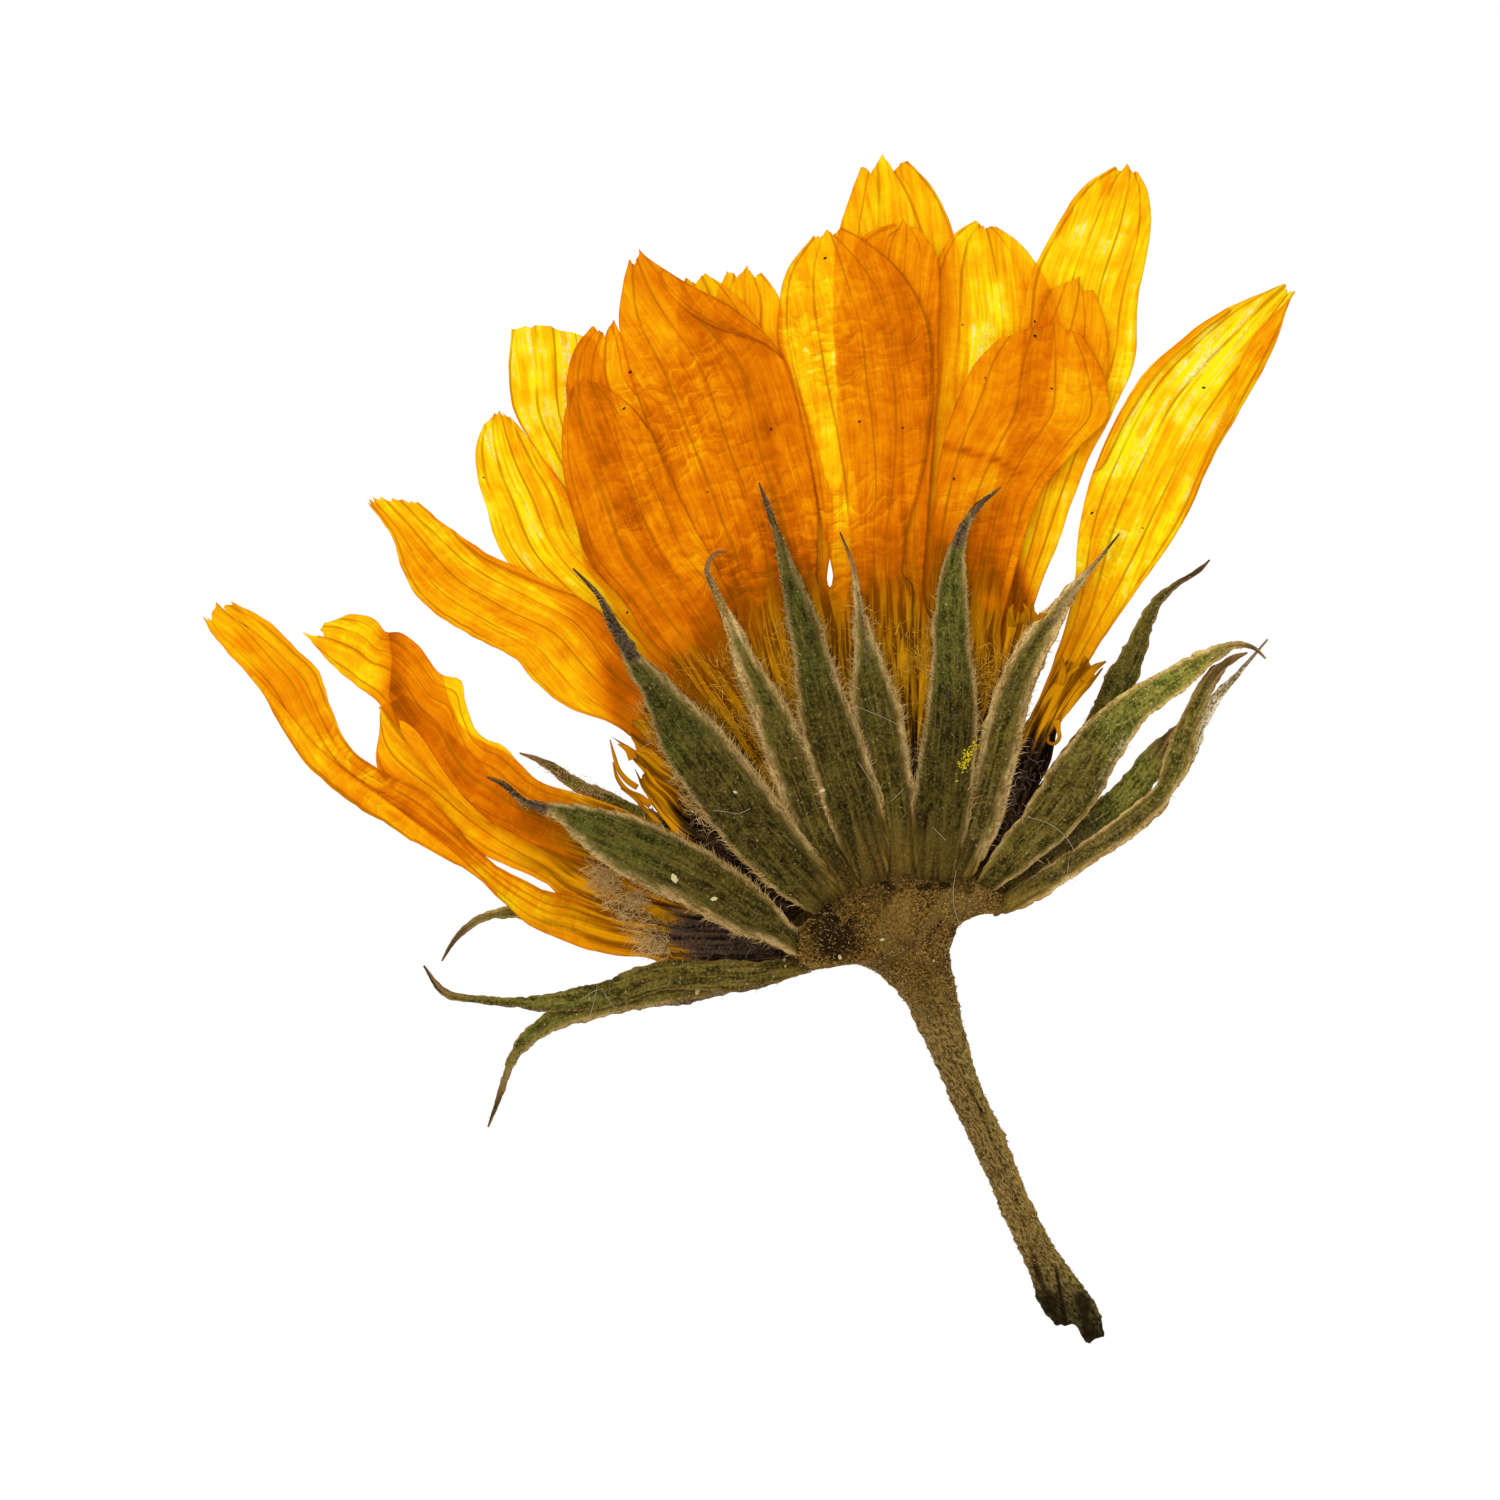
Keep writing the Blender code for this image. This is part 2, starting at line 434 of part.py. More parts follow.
def profile_at(share):
    """Height of the stalk's ridge at a share of its length."""
    for (low, before), (high, after) in zip(STALK_PROFILE, STALK_PROFILE[1:]):
        if share <= high:
            return before + (after - before) * smooth(low, high, share)
    return STALK_PROFILE[-1][1]


def build_stalk():
    """Stalk and receptacle: flat below, arched above."""
    left = (STALK_RIM[0],) + STALK_LEFT + (STALK_END[0],)
    right = (STALK_RIM[-1],) + STALK_RIGHT + (STALK_END[-1],)
    shares = stations_of(length_of(smooth_curve(left)), STALK_STATION)
    rows = edge_rows(left, right, STALK_RIM, STALK_END, shares, STALK_COLUMNS, RIM_SHARE)
    upper = []
    for along in shares:
        ridge = profile_at(along)
        arch = [math.sqrt(1.0 - (2.0 * k / STALK_COLUMNS - 1.0) ** 2)
                for k in range(STALK_COLUMNS + 1)]
        upper.append([ridge * (SIDE_SHARE + (1.0 - SIDE_SHARE) * rise) for rise in arch])
    mesh = bmesh.new()
    top = add_grid(mesh, rows, upper)
    mirrored = add_grid(mesh, [row[::-1] for row in rows], [[0.0] * len(row) for row in rows])
    under = [row[::-1] for row in mirrored]
    close_sides(mesh, rim_of(top), rim_of(under))
    add_object("stalk", mesh, "stalk")


def rim_of(grid):
    """Vertices around a grid, counter-clockwise from above."""
    right_side = [row[-1] for row in grid[1:-1]]
    left_side = [row[0] for row in grid[1:-1]]
    return grid[0] + right_side + grid[-1][::-1] + left_side[::-1]


def close_sides(mesh, top, under):
    """Wall between two rims."""
    for i, vertex in enumerate(top):
        following = (i + 1) % len(top)
        mesh.faces.new((under[i], under[following], top[following], vertex))


def main():
    for thing in list(bpy.data.objects):
        bpy.data.objects.remove(thing)
    build_stalk()
    for number, ray in enumerate(RAYS, 1):
        add_sheet(f"ray_{number:02d}", "ray", ray, blade_rows(ray), RAY_THICKNESS)
    for number, bract in enumerate(BRACTS, 1):
        add_sheet(f"bract_{number:02d}", "bract", bract, bract_rows(bract), BRACT_THICKNESS)
    for number, floret in enumerate(FLORETS, 1):
        add_sheet(f"disc_floret_{number:02d}", "floret", floret, blade_rows(floret),
                  FLORET_THICKNESS)


main()
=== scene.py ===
"""Looks of a pressed calendula flower that lies flat, with its green bracts towards the camera.

Petals, small florets and bracts are thin curved sheets in the layers of the pressed stack, each
over the outline of its CAD node. A petal is darker where other petals lie under it: painted
light, as it looks when light comes through them. Lengths are in millimetres until a mesh is made.
"""
import math
from collections import namedtuple

import bpy
import numpy as np
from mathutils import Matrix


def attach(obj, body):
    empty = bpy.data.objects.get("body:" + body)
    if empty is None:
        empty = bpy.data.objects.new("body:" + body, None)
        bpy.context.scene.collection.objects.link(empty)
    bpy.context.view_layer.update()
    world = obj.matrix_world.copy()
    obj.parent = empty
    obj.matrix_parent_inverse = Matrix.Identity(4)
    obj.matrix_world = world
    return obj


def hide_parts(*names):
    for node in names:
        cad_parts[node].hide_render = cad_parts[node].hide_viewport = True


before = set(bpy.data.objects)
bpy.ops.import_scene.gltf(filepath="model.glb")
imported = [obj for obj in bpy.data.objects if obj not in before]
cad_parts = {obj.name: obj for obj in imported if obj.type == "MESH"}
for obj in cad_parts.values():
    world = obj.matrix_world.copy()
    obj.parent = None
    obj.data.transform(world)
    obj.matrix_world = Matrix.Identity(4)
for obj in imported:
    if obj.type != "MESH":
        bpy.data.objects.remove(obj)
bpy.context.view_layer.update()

MM = 0.001

# The pressed stack, as the CAD has it
RAY_THICKNESS = 0.08
BRACT_THICKNESS = 0.12
FLORET_THICKNESS = 0.14
LAYER_HEIGHT = 0.24
OUTER_SHARE = 0.60
HEAD_RADIUS = 5.0
OUTER_RADIUS = 13.0
RIPPLE_SHARE = 0.06
RIPPLE_LENGTH = 15.0
FLOOR_CLEARANCE = 0.01
HEAD_HEIGHT = 2.30
STALK_HEIGHT = 0.90
SIDE_SHARE = 0.35
RIM_SHARE = 0.12
TIP_SHARE = 0.14
SETTLE_SHARE = 0.60
TIP_CROWDING = 1.35
CURVE_STEPS = 12

# What the looks add to these shapes: sharper teeth on the petal tips, and wider feet for the
# bracts in the middle, so that no floor shows between them
TOOTH_SHARPNESS = 1.2
FOOT_WIDENING = 0.10
WIDE_FEET = range(3, 11)

# How finely the other parts are divided
FOLD_COLUMNS = 8
LOBE_ROWS, LOBE_COLUMNS = 22, 7
OVARY_TURNS = 14
STEM_ROWS, STEM_COLUMNS = 260, 36
BED_ROWS, BED_COLUMNS = 60, 16
SIDE_RINGS = 7

# Folded edges, ovaries and bracts: thickness of a fold and how far it rises, the share and the
# distance from the head's middle where an ovary ends and how far it lies under its petal, how far
# a bract's body reaches down, and how near to the stem bracts start to sink into it
FOLD_SKIN = 0.04
FOLD_RISE = 0.075
OVARY_SHARE = 0.42
OVARY_END = 8.6
OVARY_DROP = 0.20
BRACT_BODY = 0.09
SINK_REACH = 0.25

# Step between the patterns of neighbours
SEED_STEP = 0.618

# Marks, wider edges and seeds count the small florets from this number on, after the petals
FIRST_FLORET = 30

# The kinds of thin pieces: names of piece and CAD node, slot, thickness in the CAD and of the skin
# shown, rows and columns, where its numbers start, seeds of outline and surface, and how far the
# edges lift
Kind = namedtuple("Kind", "piece node slot thickness skin rows columns first seed surface lift")
PETAL = Kind("petal", "ray", "petal", RAY_THICKNESS, 0.05, 96, 36, 0, 500, 100, 0.03)
FLORET = Kind("small_floret", "disc_floret", "floret", FLORET_THICKNESS, 0.06, 60, 24,
              FIRST_FLORET, 600, 200, 0.05)
BRACT = Kind("green_bract", "bract", "bract", BRACT_THICKNESS, 0.05, 130, 18, 0, 700, 300, 0.0)

Blade = namedtuple("Blade", "layer tip_layer left right tip")
Bract = namedtuple("Bract", "layer tip_layer spine")

# Petals, clockwise from the far left one: layers of base and tip, edges from the ovary outwards,
# then the teeth of the tip
RAYS = [Blade(*row) for row in (
    (3.6, 0.4, ((-3.9, -1.75), (-7.5, -1.95), (-10.4, -1.65), (-12.5, -0.7), (-14.3, 0.9),
     (-17.0, 2.4), (-19.9, 4.6), (-21.4, 7.0), (-22.9, 8.8)), ((-3.9, -1.25), (-8.3, -0.95),
     (-10.5, -0.3), (-12.3, 0.5), (-13.6, 1.2), (-15.5, 3.3), (-18.4, 5.2), (-19.0, 6.5),
     (-19.5, 7.7), (-20.4, 8.6), (-21.4, 9.5)), ((-23.3, 9.4), (-23.05, 9.4), (-22.85, 9.85),
     (-22.6, 9.65), (-22.3, 9.95))),
    (2.5, 0.8, ((-3.9, -1.15), (-8.2, -0.8), (-10.5, 0.0), (-12.3, 0.8), (-13.7, 1.4),
     (-15.8, 2.9), (-17.5, 4.6)), ((-3.8, -0.65), (-8.2, 0.05), (-9.8, 1.2), (-11.5, 2.5),
     (-13.6, 4.2), (-15.4, 5.9)), ((-17.4, 5.6), (-17.35, 6.4), (-16.6, 6.9))),
    (5.0, 1.6, ((-3.8, -0.5), (-8.0, 0.6), (-10.2, 1.05), (-12.2, 1.9), (-14.2, 2.8), (-15.8, 4.4),
     (-17.3, 6.5), (-18.8, 7.7)), ((-3.6, 0.0), (-8.2, 2.6), (-10.3, 3.4), (-12.2, 4.1),
     (-13.3, 5.15), (-13.9, 5.4), (-14.5, 6.6), (-14.65, 7.3), (-15.3, 7.5), (-16.1, 8.5),
     (-16.8, 8.95), (-17.15, 8.95), (-17.5, 9.35), (-18.2, 9.5)), ((-19.3, 8.2), (-19.8, 8.85),
     (-19.35, 8.85), (-19.25, 9.2), (-18.8, 9.35))),
    (4.0, 3.2, ((-3.5, 0.15), (-6.5, 3.0), (-9.1, 5.6), (-11.0, 6.4), (-12.0, 7.1), (-12.8, 8.05),
     (-14.6, 8.95), (-15.9, 9.9), (-16.5, 10.8), (-17.1, 12.3)), ((-3.1, 0.6), (-6.2, 4.6),
     (-8.6, 7.6), (-10.0, 9.6), (-11.7, 10.6), (-14.3, 11.9), (-15.3, 12.6)), ((-17.7, 13.25),
     (-17.5, 13.4), (-16.8, 13.35), (-16.1, 13.25))),
    (3.0, 2.2, ((-3.1, 0.7), (-6.6, 5.4), (-9.9, 8.6), (-12.0, 10.3), (-13.3, 11.6), (-13.8, 13.0),
     (-14.15, 14.3), (-14.1, 15.3)), ((-2.7, 1.0), (-6.0, 5.8), (-9.1, 9.0), (-10.4, 11.0),
     (-10.7, 12.4), (-11.1, 13.5), (-12.0, 14.9), (-12.7, 15.8)), ((-13.85, 15.9), (-13.4, 16.3),
     (-13.0, 16.1))),
    (2.0, 0.2, ((-2.7, 1.05), (-5.8, 5.8), (-8.6, 9.6), (-10.6, 12.4), (-12.1, 14.9),
     (-12.9, 16.4), (-13.05, 17.8)), ((-2.3, 1.3), (-5.2, 6.4), (-7.6, 10.0), (-8.9, 12.8),
     (-9.4, 15.5), (-9.8, 17.5)), ((-13.0, 19.1), (-12.0, 19.2), (-11.0, 19.0), (-10.2, 18.7))),
    (6.0, 5.0, ((-2.3, 1.25), (-5.2, 5.8), (-8.3, 9.3), (-10.3, 11.2), (-11.0, 13.2),
     (-11.3, 14.9), (-11.2, 16.2)), ((-1.9, 1.5), (-4.2, 6.5), (-5.8, 10.0), (-7.0, 13.0),
     (-8.0, 15.2), (-9.0, 16.5)), ((-10.95, 17.1), (-10.5, 17.35), (-9.9, 17.2))),
    (5.0, 4.0, ((-2.0, 1.3), (-4.8, 6.2), (-7.8, 10.6), (-9.8, 13.5), (-10.9, 15.6), (-11.1, 17.4),
     (-10.8, 18.5)), ((-1.6, 1.5), (-3.8, 6.5), (-5.4, 10.5), (-6.6, 14.0), (-7.6, 16.1),
     (-8.9, 17.5), (-9.2, 18.5)), ((-10.25, 19.15), (-9.85, 18.85), (-9.55, 19.4))),
    (7.0, 5.5, ((-1.65, 1.4), (-3.9, 6.6), (-6.0, 10.8), (-7.8, 14.4), (-9.0, 17.6), (-9.4, 19.3),
     (-9.25, 20.5)), ((-1.25, 1.6), (-2.6, 6.6), (-2.8, 10.5), (-2.75, 13.0), (-3.2, 15.6),
     (-3.9, 18.1), (-5.5, 19.7), (-7.4, 20.75)), ((-9.05, 21.35), (-8.85, 21.2), (-8.65, 21.6),
     (-8.1, 21.2))),
    (4.0, 3.0, ((-1.3, 1.45), (-3.2, 6.5), (-5.0, 11.0), (-6.6, 15.5), (-7.4, 18.5),
     (-7.35, 20.1)), ((-0.9, 1.7), (-2.4, 7.0), (-3.3, 12.0), (-4.1, 16.5), (-4.7, 19.2),
     (-5.7, 20.4)), ((-7.15, 20.75), (-6.85, 20.6), (-6.5, 20.9), (-6.15, 20.7))),
    (3.0, 2.0, ((-1.0, 1.55), (-2.5, 6.5), (-3.9, 11.5), (-5.4, 16.0), (-6.2, 19.0), (-6.1, 20.3)),
     ((-0.6, 1.75), (-1.8, 6.5), (-2.42, 10.9), (-2.2, 12.3), (-2.9, 15.6), (-3.9, 18.6),
     (-4.05, 20.2)), ((-5.78, 21.0), (-5.45, 20.85), (-5.1, 21.1), (-4.85, 20.85), (-4.6, 20.95))),
    (6.0, 5.5, ((-0.6, 1.7), (-1.6, 6.5), (-2.25, 10.9), (-2.6, 12.6), (-3.2, 15.2), (-3.9, 17.7),
     (-4.05, 19.5), (-3.75, 21.0)), ((-0.15, 1.85), (-0.2, 7.0), (0.2, 12.0), (0.9, 15.0),
     (1.1, 17.5), (0.75, 19.8), (-0.3, 21.3), (-1.3, 22.1)), ((-2.9, 22.15), (-2.66, 22.1),
     (-2.43, 22.35), (-2.2, 22.2), (-1.95, 22.45))),
    (5.0, 4.3, ((-0.2, 1.75), (-0.9, 6.5), (-1.6, 12.0), (-2.1, 17.0), (-1.9, 20.5),
     (-1.2, 22.15)), ((0.2, 1.85), (0.5, 7.0), (0.9, 12.5), (1.2, 16.5), (1.3, 19.5), (1.1, 21.8)),
     ((-0.22, 22.6), (-0.05, 22.45), (0.12, 22.7), (0.3, 22.45), (0.52, 22.5))),
    (2.0, 0.2, ((0.15, 1.75), (-0.6, 7.5), (-1.5, 14.0), (-2.2, 19.0), (-2.05, 22.2),
     (-1.6, 23.7)), ((0.55, 1.8), (1.2, 7.5), (2.0, 14.0), (2.3, 19.0), (1.8, 22.3), (1.0, 23.9)),
     ((-1.27, 24.5), (-0.95, 24.35), (-0.57, 24.83), (-0.2, 24.45), (0.23, 24.73))),
    (3.0, 2.0, ((0.55, 1.7), (0.5, 7.5), (0.6, 14.0), (0.85, 18.5), (1.25, 21.4), (1.9, 22.3)),
     ((0.95, 1.75), (2.2, 7.5), (3.7, 12.5), (5.1, 17.0), (5.3, 19.5), (4.6, 21.2), (3.8, 22.1)),
     ((2.53, 22.7), (2.85, 22.45), (3.2, 22.5))),
    (7.0, 6.4, ((0.95, 1.6), (1.1, 7.0), (1.1, 12.0), (1.4, 15.0), (2.0, 16.9), (2.6, 18.0)),
     ((1.4, 1.6), (2.9, 7.0), (4.0, 11.5), (4.8, 13.7), (6.1, 15.2), (6.95, 16.1), (6.8, 17.5)),
     ((3.3, 18.7), (4.3, 19.05), (5.2, 19.2), (6.1, 18.8))),
    (5.0, 4.4, ((1.35, 1.5), (2.0, 7.5), (3.0, 13.0), (3.9, 17.0), (4.4, 19.2)), ((1.75, 1.5),
     (2.9, 7.5), (4.0, 12.2), (5.2, 14.4), (6.3, 16.2), (6.9, 17.6), (6.75, 19.6)), ((4.9, 20.35),
     (5.93, 20.7), (6.1, 20.3), (6.45, 20.35))),
    (4.0, 2.6, ((1.75, 1.4), (2.6, 7.5), (3.2, 12.5), (3.9, 17.0), (4.3, 20.5), (5.1, 22.3),
     (6.3, 24.0)), ((2.2, 1.35), (3.6, 7.5), (4.6, 10.2), (5.3, 12.0), (6.0, 14.0), (7.0, 16.1),
     (7.85, 18.0), (7.95, 20.0), (8.4, 22.8), (8.25, 23.7)), ((7.17, 24.5), (7.38, 24.35),
     (7.6, 24.57), (7.78, 24.3), (7.93, 24.33))),
    (6.0, 0.4, ((2.5, 1.3), (3.8, 5.0), (5.0, 7.6), (5.65, 9.6), (5.85, 11.0), (6.05, 12.8),
     (7.0, 15.6), (8.0, 17.4), (9.5, 18.8), (11.2, 19.9)), ((2.9, 1.1), (4.6, 5.0), (6.4, 8.1),
     (7.3, 9.5), (9.2, 12.2), (10.7, 15.2), (12.3, 18.0), (13.05, 19.9)), ((12.5, 20.45),
     (12.83, 20.57), (13.0, 20.3), (13.23, 20.33))),
)]

# Bracts: layers of foot and tip, then the middle line from the receptacle outwards, with half the
# width at each point
BRACTS = [Bract(*row) for row in (
    (5.0, 1.2, ((-3.65, -2.3, 0.3), (-5.0, -2.47, 0.44), (-8.0, -2.55, 0.5), (-10.0, -3.2, 0.45),
     (-12.0, -3.43, 0.27), (-14.0, -3.33, 0.13), (-15.2, -3.1, 0.13), (-15.9, -2.2, 0.03))),
    (3.5, 0.0, ((-3.75, -2.45, 0.25), (-7.0, -3.0, 0.4), (-10.5, -3.7, 0.36), (-12.0, -4.3, 0.32),
     (-12.9, -5.3, 0.2), (-13.3, -6.4, 0.12), (-13.75, -7.6, 0.03))),
    (9.0, 7.0, ((-3.75, -1.25, 0.4), (-5.2, -0.3, 0.9), (-7.0, 0.85, 1.0), (-9.0, 1.8, 1.0),
     (-10.5, 2.55, 0.65), (-11.5, 3.0, 0.3), (-12.5, 3.25, 0.14), (-13.2, 3.85, 0.1),
     (-13.75, 4.1, 0.04))),
    (10.0, 6.0, ((-2.55, 0.05, 0.55), (-3.7, 1.2, 0.95), (-4.9, 2.6, 1.15), (-6.0, 4.0, 1.15),
     (-7.2, 5.6, 0.95), (-8.1, 7.0, 0.55), (-8.8, 7.9, 0.35), (-9.4, 8.9, 0.2), (-10.0, 10.1, 0.1),
     (-10.9, 11.05, 0.03))),
    (9.0, 8.0, ((-1.95, 0.7, 0.5), (-2.8, 2.2, 0.75), (-3.4, 3.8, 0.75), (-4.0, 5.4, 0.72),
     (-4.7, 7.0, 0.52), (-5.3, 8.3, 0.38), (-5.75, 9.4, 0.22), (-6.15, 10.3, 0.12),
     (-6.42, 11.1, 0.08), (-6.1, 11.58, 0.05), (-5.8, 11.6, 0.03))),
    (10.0, 8.5, ((-0.95, 1.0, 0.5), (-1.3, 2.2, 0.8), (-1.8, 4.0, 0.95), (-2.3, 5.6, 0.95),
     (-2.75, 7.2, 0.75), (-3.15, 9.0, 0.55), (-3.6, 10.5, 0.4), (-3.95, 11.7, 0.2),
     (-4.3, 12.8, 0.12), (-4.7, 13.9, 0.03))),
    (9.0, 8.0, ((0.0, 1.25, 0.5), (-0.2, 3.0, 0.7), (-0.5, 5.0, 0.75), (-0.85, 6.6, 0.8),
     (-1.1, 8.0, 0.5), (-1.3, 9.2, 0.28), (-1.45, 10.3, 0.14), (-1.6, 11.2, 0.07),
     (-2.0, 12.25, 0.03))),
    (10.0, 8.5, ((1.15, 1.0, 0.55), (1.3, 2.5, 0.85), (1.55, 4.5, 0.95), (1.72, 6.5, 0.85),
     (1.7, 8.5, 0.68), (1.7, 10.0, 0.56), (1.78, 11.2, 0.4), (2.05, 12.2, 0.22), (2.5, 13.0, 0.14),
     (3.35, 13.75, 0.03))),
    (9.0, 7.5, ((2.0, 1.1, 0.4), (2.6, 2.6, 0.6), (3.1, 4.3, 0.7), (3.5, 6.0, 0.68),
     (3.95, 7.4, 0.62), (4.55, 8.6, 0.5), (5.2, 9.6, 0.36), (5.85, 10.5, 0.2), (6.4, 11.1, 0.1),
     (7.3, 12.2, 0.03))),
    (9.0, 4.0, ((3.1, 0.8, 0.35), (4.05, 1.8, 0.65), (5.15, 2.95, 0.88), (6.0, 4.2, 0.92),
     (6.75, 5.35, 0.82), (7.65, 6.35, 0.62), (8.7, 7.05, 0.5), (9.7, 7.7, 0.4), (10.5, 8.2, 0.25),
     (11.2, 8.5, 0.13), (11.8, 8.4, 0.07), (12.2, 8.05, 0.03))),
    (3.0, 1.0, ((3.3, 1.2, 0.3), (4.5, 2.8, 0.45), (5.8, 4.6, 0.5), (6.75, 6.0, 0.5),
     (7.4, 7.3, 0.52), (7.88, 8.3, 0.38), (8.2, 9.2, 0.27), (8.65, 10.0, 0.18), (9.2, 10.5, 0.12),
     (10.1, 11.1, 0.07), (10.35, 11.35, 0.03))),
    (6.0, 2.0, ((3.75, -0.02, 0.33), (4.8, 0.6, 0.42), (6.2, 1.55, 0.42), (7.7, 2.6, 0.42),
     (8.75, 3.6, 0.4), (9.3, 4.8, 0.44), (9.62, 5.8, 0.36), (10.05, 6.7, 0.28), (10.5, 7.5, 0.22),
     (11.1, 8.05, 0.12), (11.6, 8.25, 0.03))),
    (4.0, 1.0, ((3.85, 0.55, 0.3), (5.2, 1.7, 0.42), (6.4, 2.6, 0.45), (7.5, 3.45, 0.48),
     (8.3, 4.4, 0.46), (8.9, 5.2, 0.3), (9.35, 5.85, 0.05))),
    (1.0, 0.0, ((4.1, 0.4, 0.25), (6.5, 1.9, 0.3), (8.6, 3.4, 0.3), (9.6, 4.7, 0.25),
     (10.1, 5.8, 0.2), (10.45, 6.6, 0.22), (11.0, 7.2, 0.12), (11.7, 8.0, 0.06),
     (12.3, 8.7, 0.03))),
    (1.0, 1.0, ((-3.75, -0.3, 0.28), (-6.0, 1.4, 0.35), (-8.0, 2.5, 0.35), (-9.0, 2.95, 0.3),
     (-10.0, 3.4, 0.28), (-11.0, 4.0, 0.2), (-12.0, 4.65, 0.12), (-12.7, 4.9, 0.03))),
    (1.0, 0.6, ((-3.85, -1.55, 0.28), (-8.0, -1.2, 0.36), (-11.0, -0.65, 0.36),
     (-13.0, -0.42, 0.22), (-14.0, -0.65, 0.15), (-14.9, -1.4, 0.08), (-15.3, -2.05, 0.03))),
)]

# Disc florets, left to right: edges from the ovary outwards, then the lobes of the mouth
FLORETS = [Blade(*row) for row in (
    (8.0, 7.4, ((-4.1, 0.1), (-6.0, 1.5), (-7.4, 2.1), (-8.0, 2.8), (-8.4, 3.4), (-8.65, 3.8)),
     ((-3.9, 0.4), (-5.8, 2.0), (-7.3, 2.9), (-8.0, 3.8)), ((-8.9, 4.45), (-8.65, 4.1),
     (-8.45, 4.4))),
    (7.0, 5.0, ((-4.1, 0.5), (-6.0, 2.2), (-7.4, 3.1), (-8.3, 4.0), (-8.75, 4.5)), ((-3.8, 0.8),
     (-5.7, 2.7), (-7.0, 3.8), (-8.0, 4.8), (-8.5, 5.2)), ((-9.3, 5.1), (-8.95, 4.85), (-9.4, 5.3),
     (-8.9, 5.1), (-9.0, 5.6))),
    (6.0, 5.2, ((-3.9, 0.9), (-5.6, 2.9), (-6.9, 4.0), (-7.9, 4.9), (-8.6, 5.5)), ((-3.6, 1.2),
     (-5.2, 3.4), (-6.3, 4.6), (-7.2, 5.6), (-7.8, 6.2)), ((-9.0, 6.0), (-8.6, 6.1), (-8.5, 6.6),
     (-8.1, 6.5))),
    (8.0, 7.6, ((2.2, 1.75), (2.7, 4.5), (3.2, 7.0), (3.45, 8.6)), ((2.6, 1.7), (3.4, 4.5),
     (4.2, 7.0), (4.75, 8.7)), ((3.6, 9.75), (4.0, 9.6), (4.4, 9.8), (4.6, 9.5), (4.85, 9.6))),
    (8.0, 7.0, ((2.9, 1.5), (3.9, 4.2), (4.5, 5.8), (5.0, 7.2)), ((3.2, 1.3), (4.4, 4.2),
     (5.4, 6.0), (6.3, 7.1)), ((5.6, 8.0), (6.0, 7.85), (6.2, 8.05), (6.5, 7.6), (6.8, 7.75))),
)]

# Stalk, from the rim of the receptacle down to the cut end
STALK_LEFT = (
    (3.35, -0.35), (2.6, -0.5), (1.95, -0.85), (1.7, -1.6), (1.9, -3.0), (2.3, -4.95),
    (2.67, -6.1), (3.5, -7.9), (4.2, -9.7), (5.2, -11.6), (6.1, -12.9), (6.6, -13.6),
)
STALK_RIGHT = (
    (-3.3, -2.3), (-2.4, -2.25), (-1.4, -2.15), (-0.37, -2.75), (0.77, -4.6), (1.7, -6.7),
    (2.43, -8.2), (3.6, -10.9), (4.33, -12.45), (4.7, -13.6),
)
STALK_RIM = (
    (3.4, 0.2), (2.2, 0.72), (1.2, 0.6), (0.2, 0.85), (-1.2, 0.45), (-2.3, -0.05), (-3.4, -0.9),
)
STALK_END = (
    (6.86, -14.65), (6.55, -14.7), (6.2, -14.8), (5.95, -14.3), (5.7, -14.15), (5.25, -14.25),
)
# Height of its ridge at shares of its length
STALK_PROFILE = ((0.0, HEAD_HEIGHT), (0.12, HEAD_HEIGHT), (0.3, 1.25 * STALK_HEIGHT),
                 (0.45, STALK_HEIGHT), (0.9, 0.9 * STALK_HEIGHT), (1.0, 0.75 * STALK_HEIGHT))

# Folded edges of petals: the petal, its side (0 left, 1 right), the shares of its length where the
# fold starts and ends, and the inner line of the folded strip
Fold = namedtuple("Fold", "petal side first last inner")
FOLDS = [Fold(*row) for row in (
    (9, 1, 0.76, 0.99, ((-3.9, 17.9), (-4.6, 18.45), (-5.6, 18.85), (-6.4, 19.2), (-7.1, 19.65),
     (-7.8, 20.2), (-8.5, 20.85))),
    (19, 1, 0.6, 0.99, ((9.7, 14.2), (10.3, 15.2), (11.0, 16.8), (11.5, 18.2), (12.2, 19.4),
     (12.9, 20.1))),
    (19, 0, 0.6, 0.93, ((6.85, 14.0), (7.7, 16.2), (8.9, 17.9), (10.2, 19.0), (11.6, 19.85))),
    (4, 1, 0.66, 0.93, ((-11.6, 10.3), (-12.6, 10.75), (-14.1, 11.5), (-15.0, 12.1))),
    (1, 0, 0.4, 0.9, ((-12.9, -0.3), (-14.6, 1.5), (-16.8, 3.1), (-19.2, 4.9), (-20.9, 7.0),
     (-21.9, 8.3))),
    (3, 0, 0.55, 0.8, ((-14.3, 3.2), (-15.2, 4.3), (-16.2, 5.8), (-17.0, 6.7))),
)]

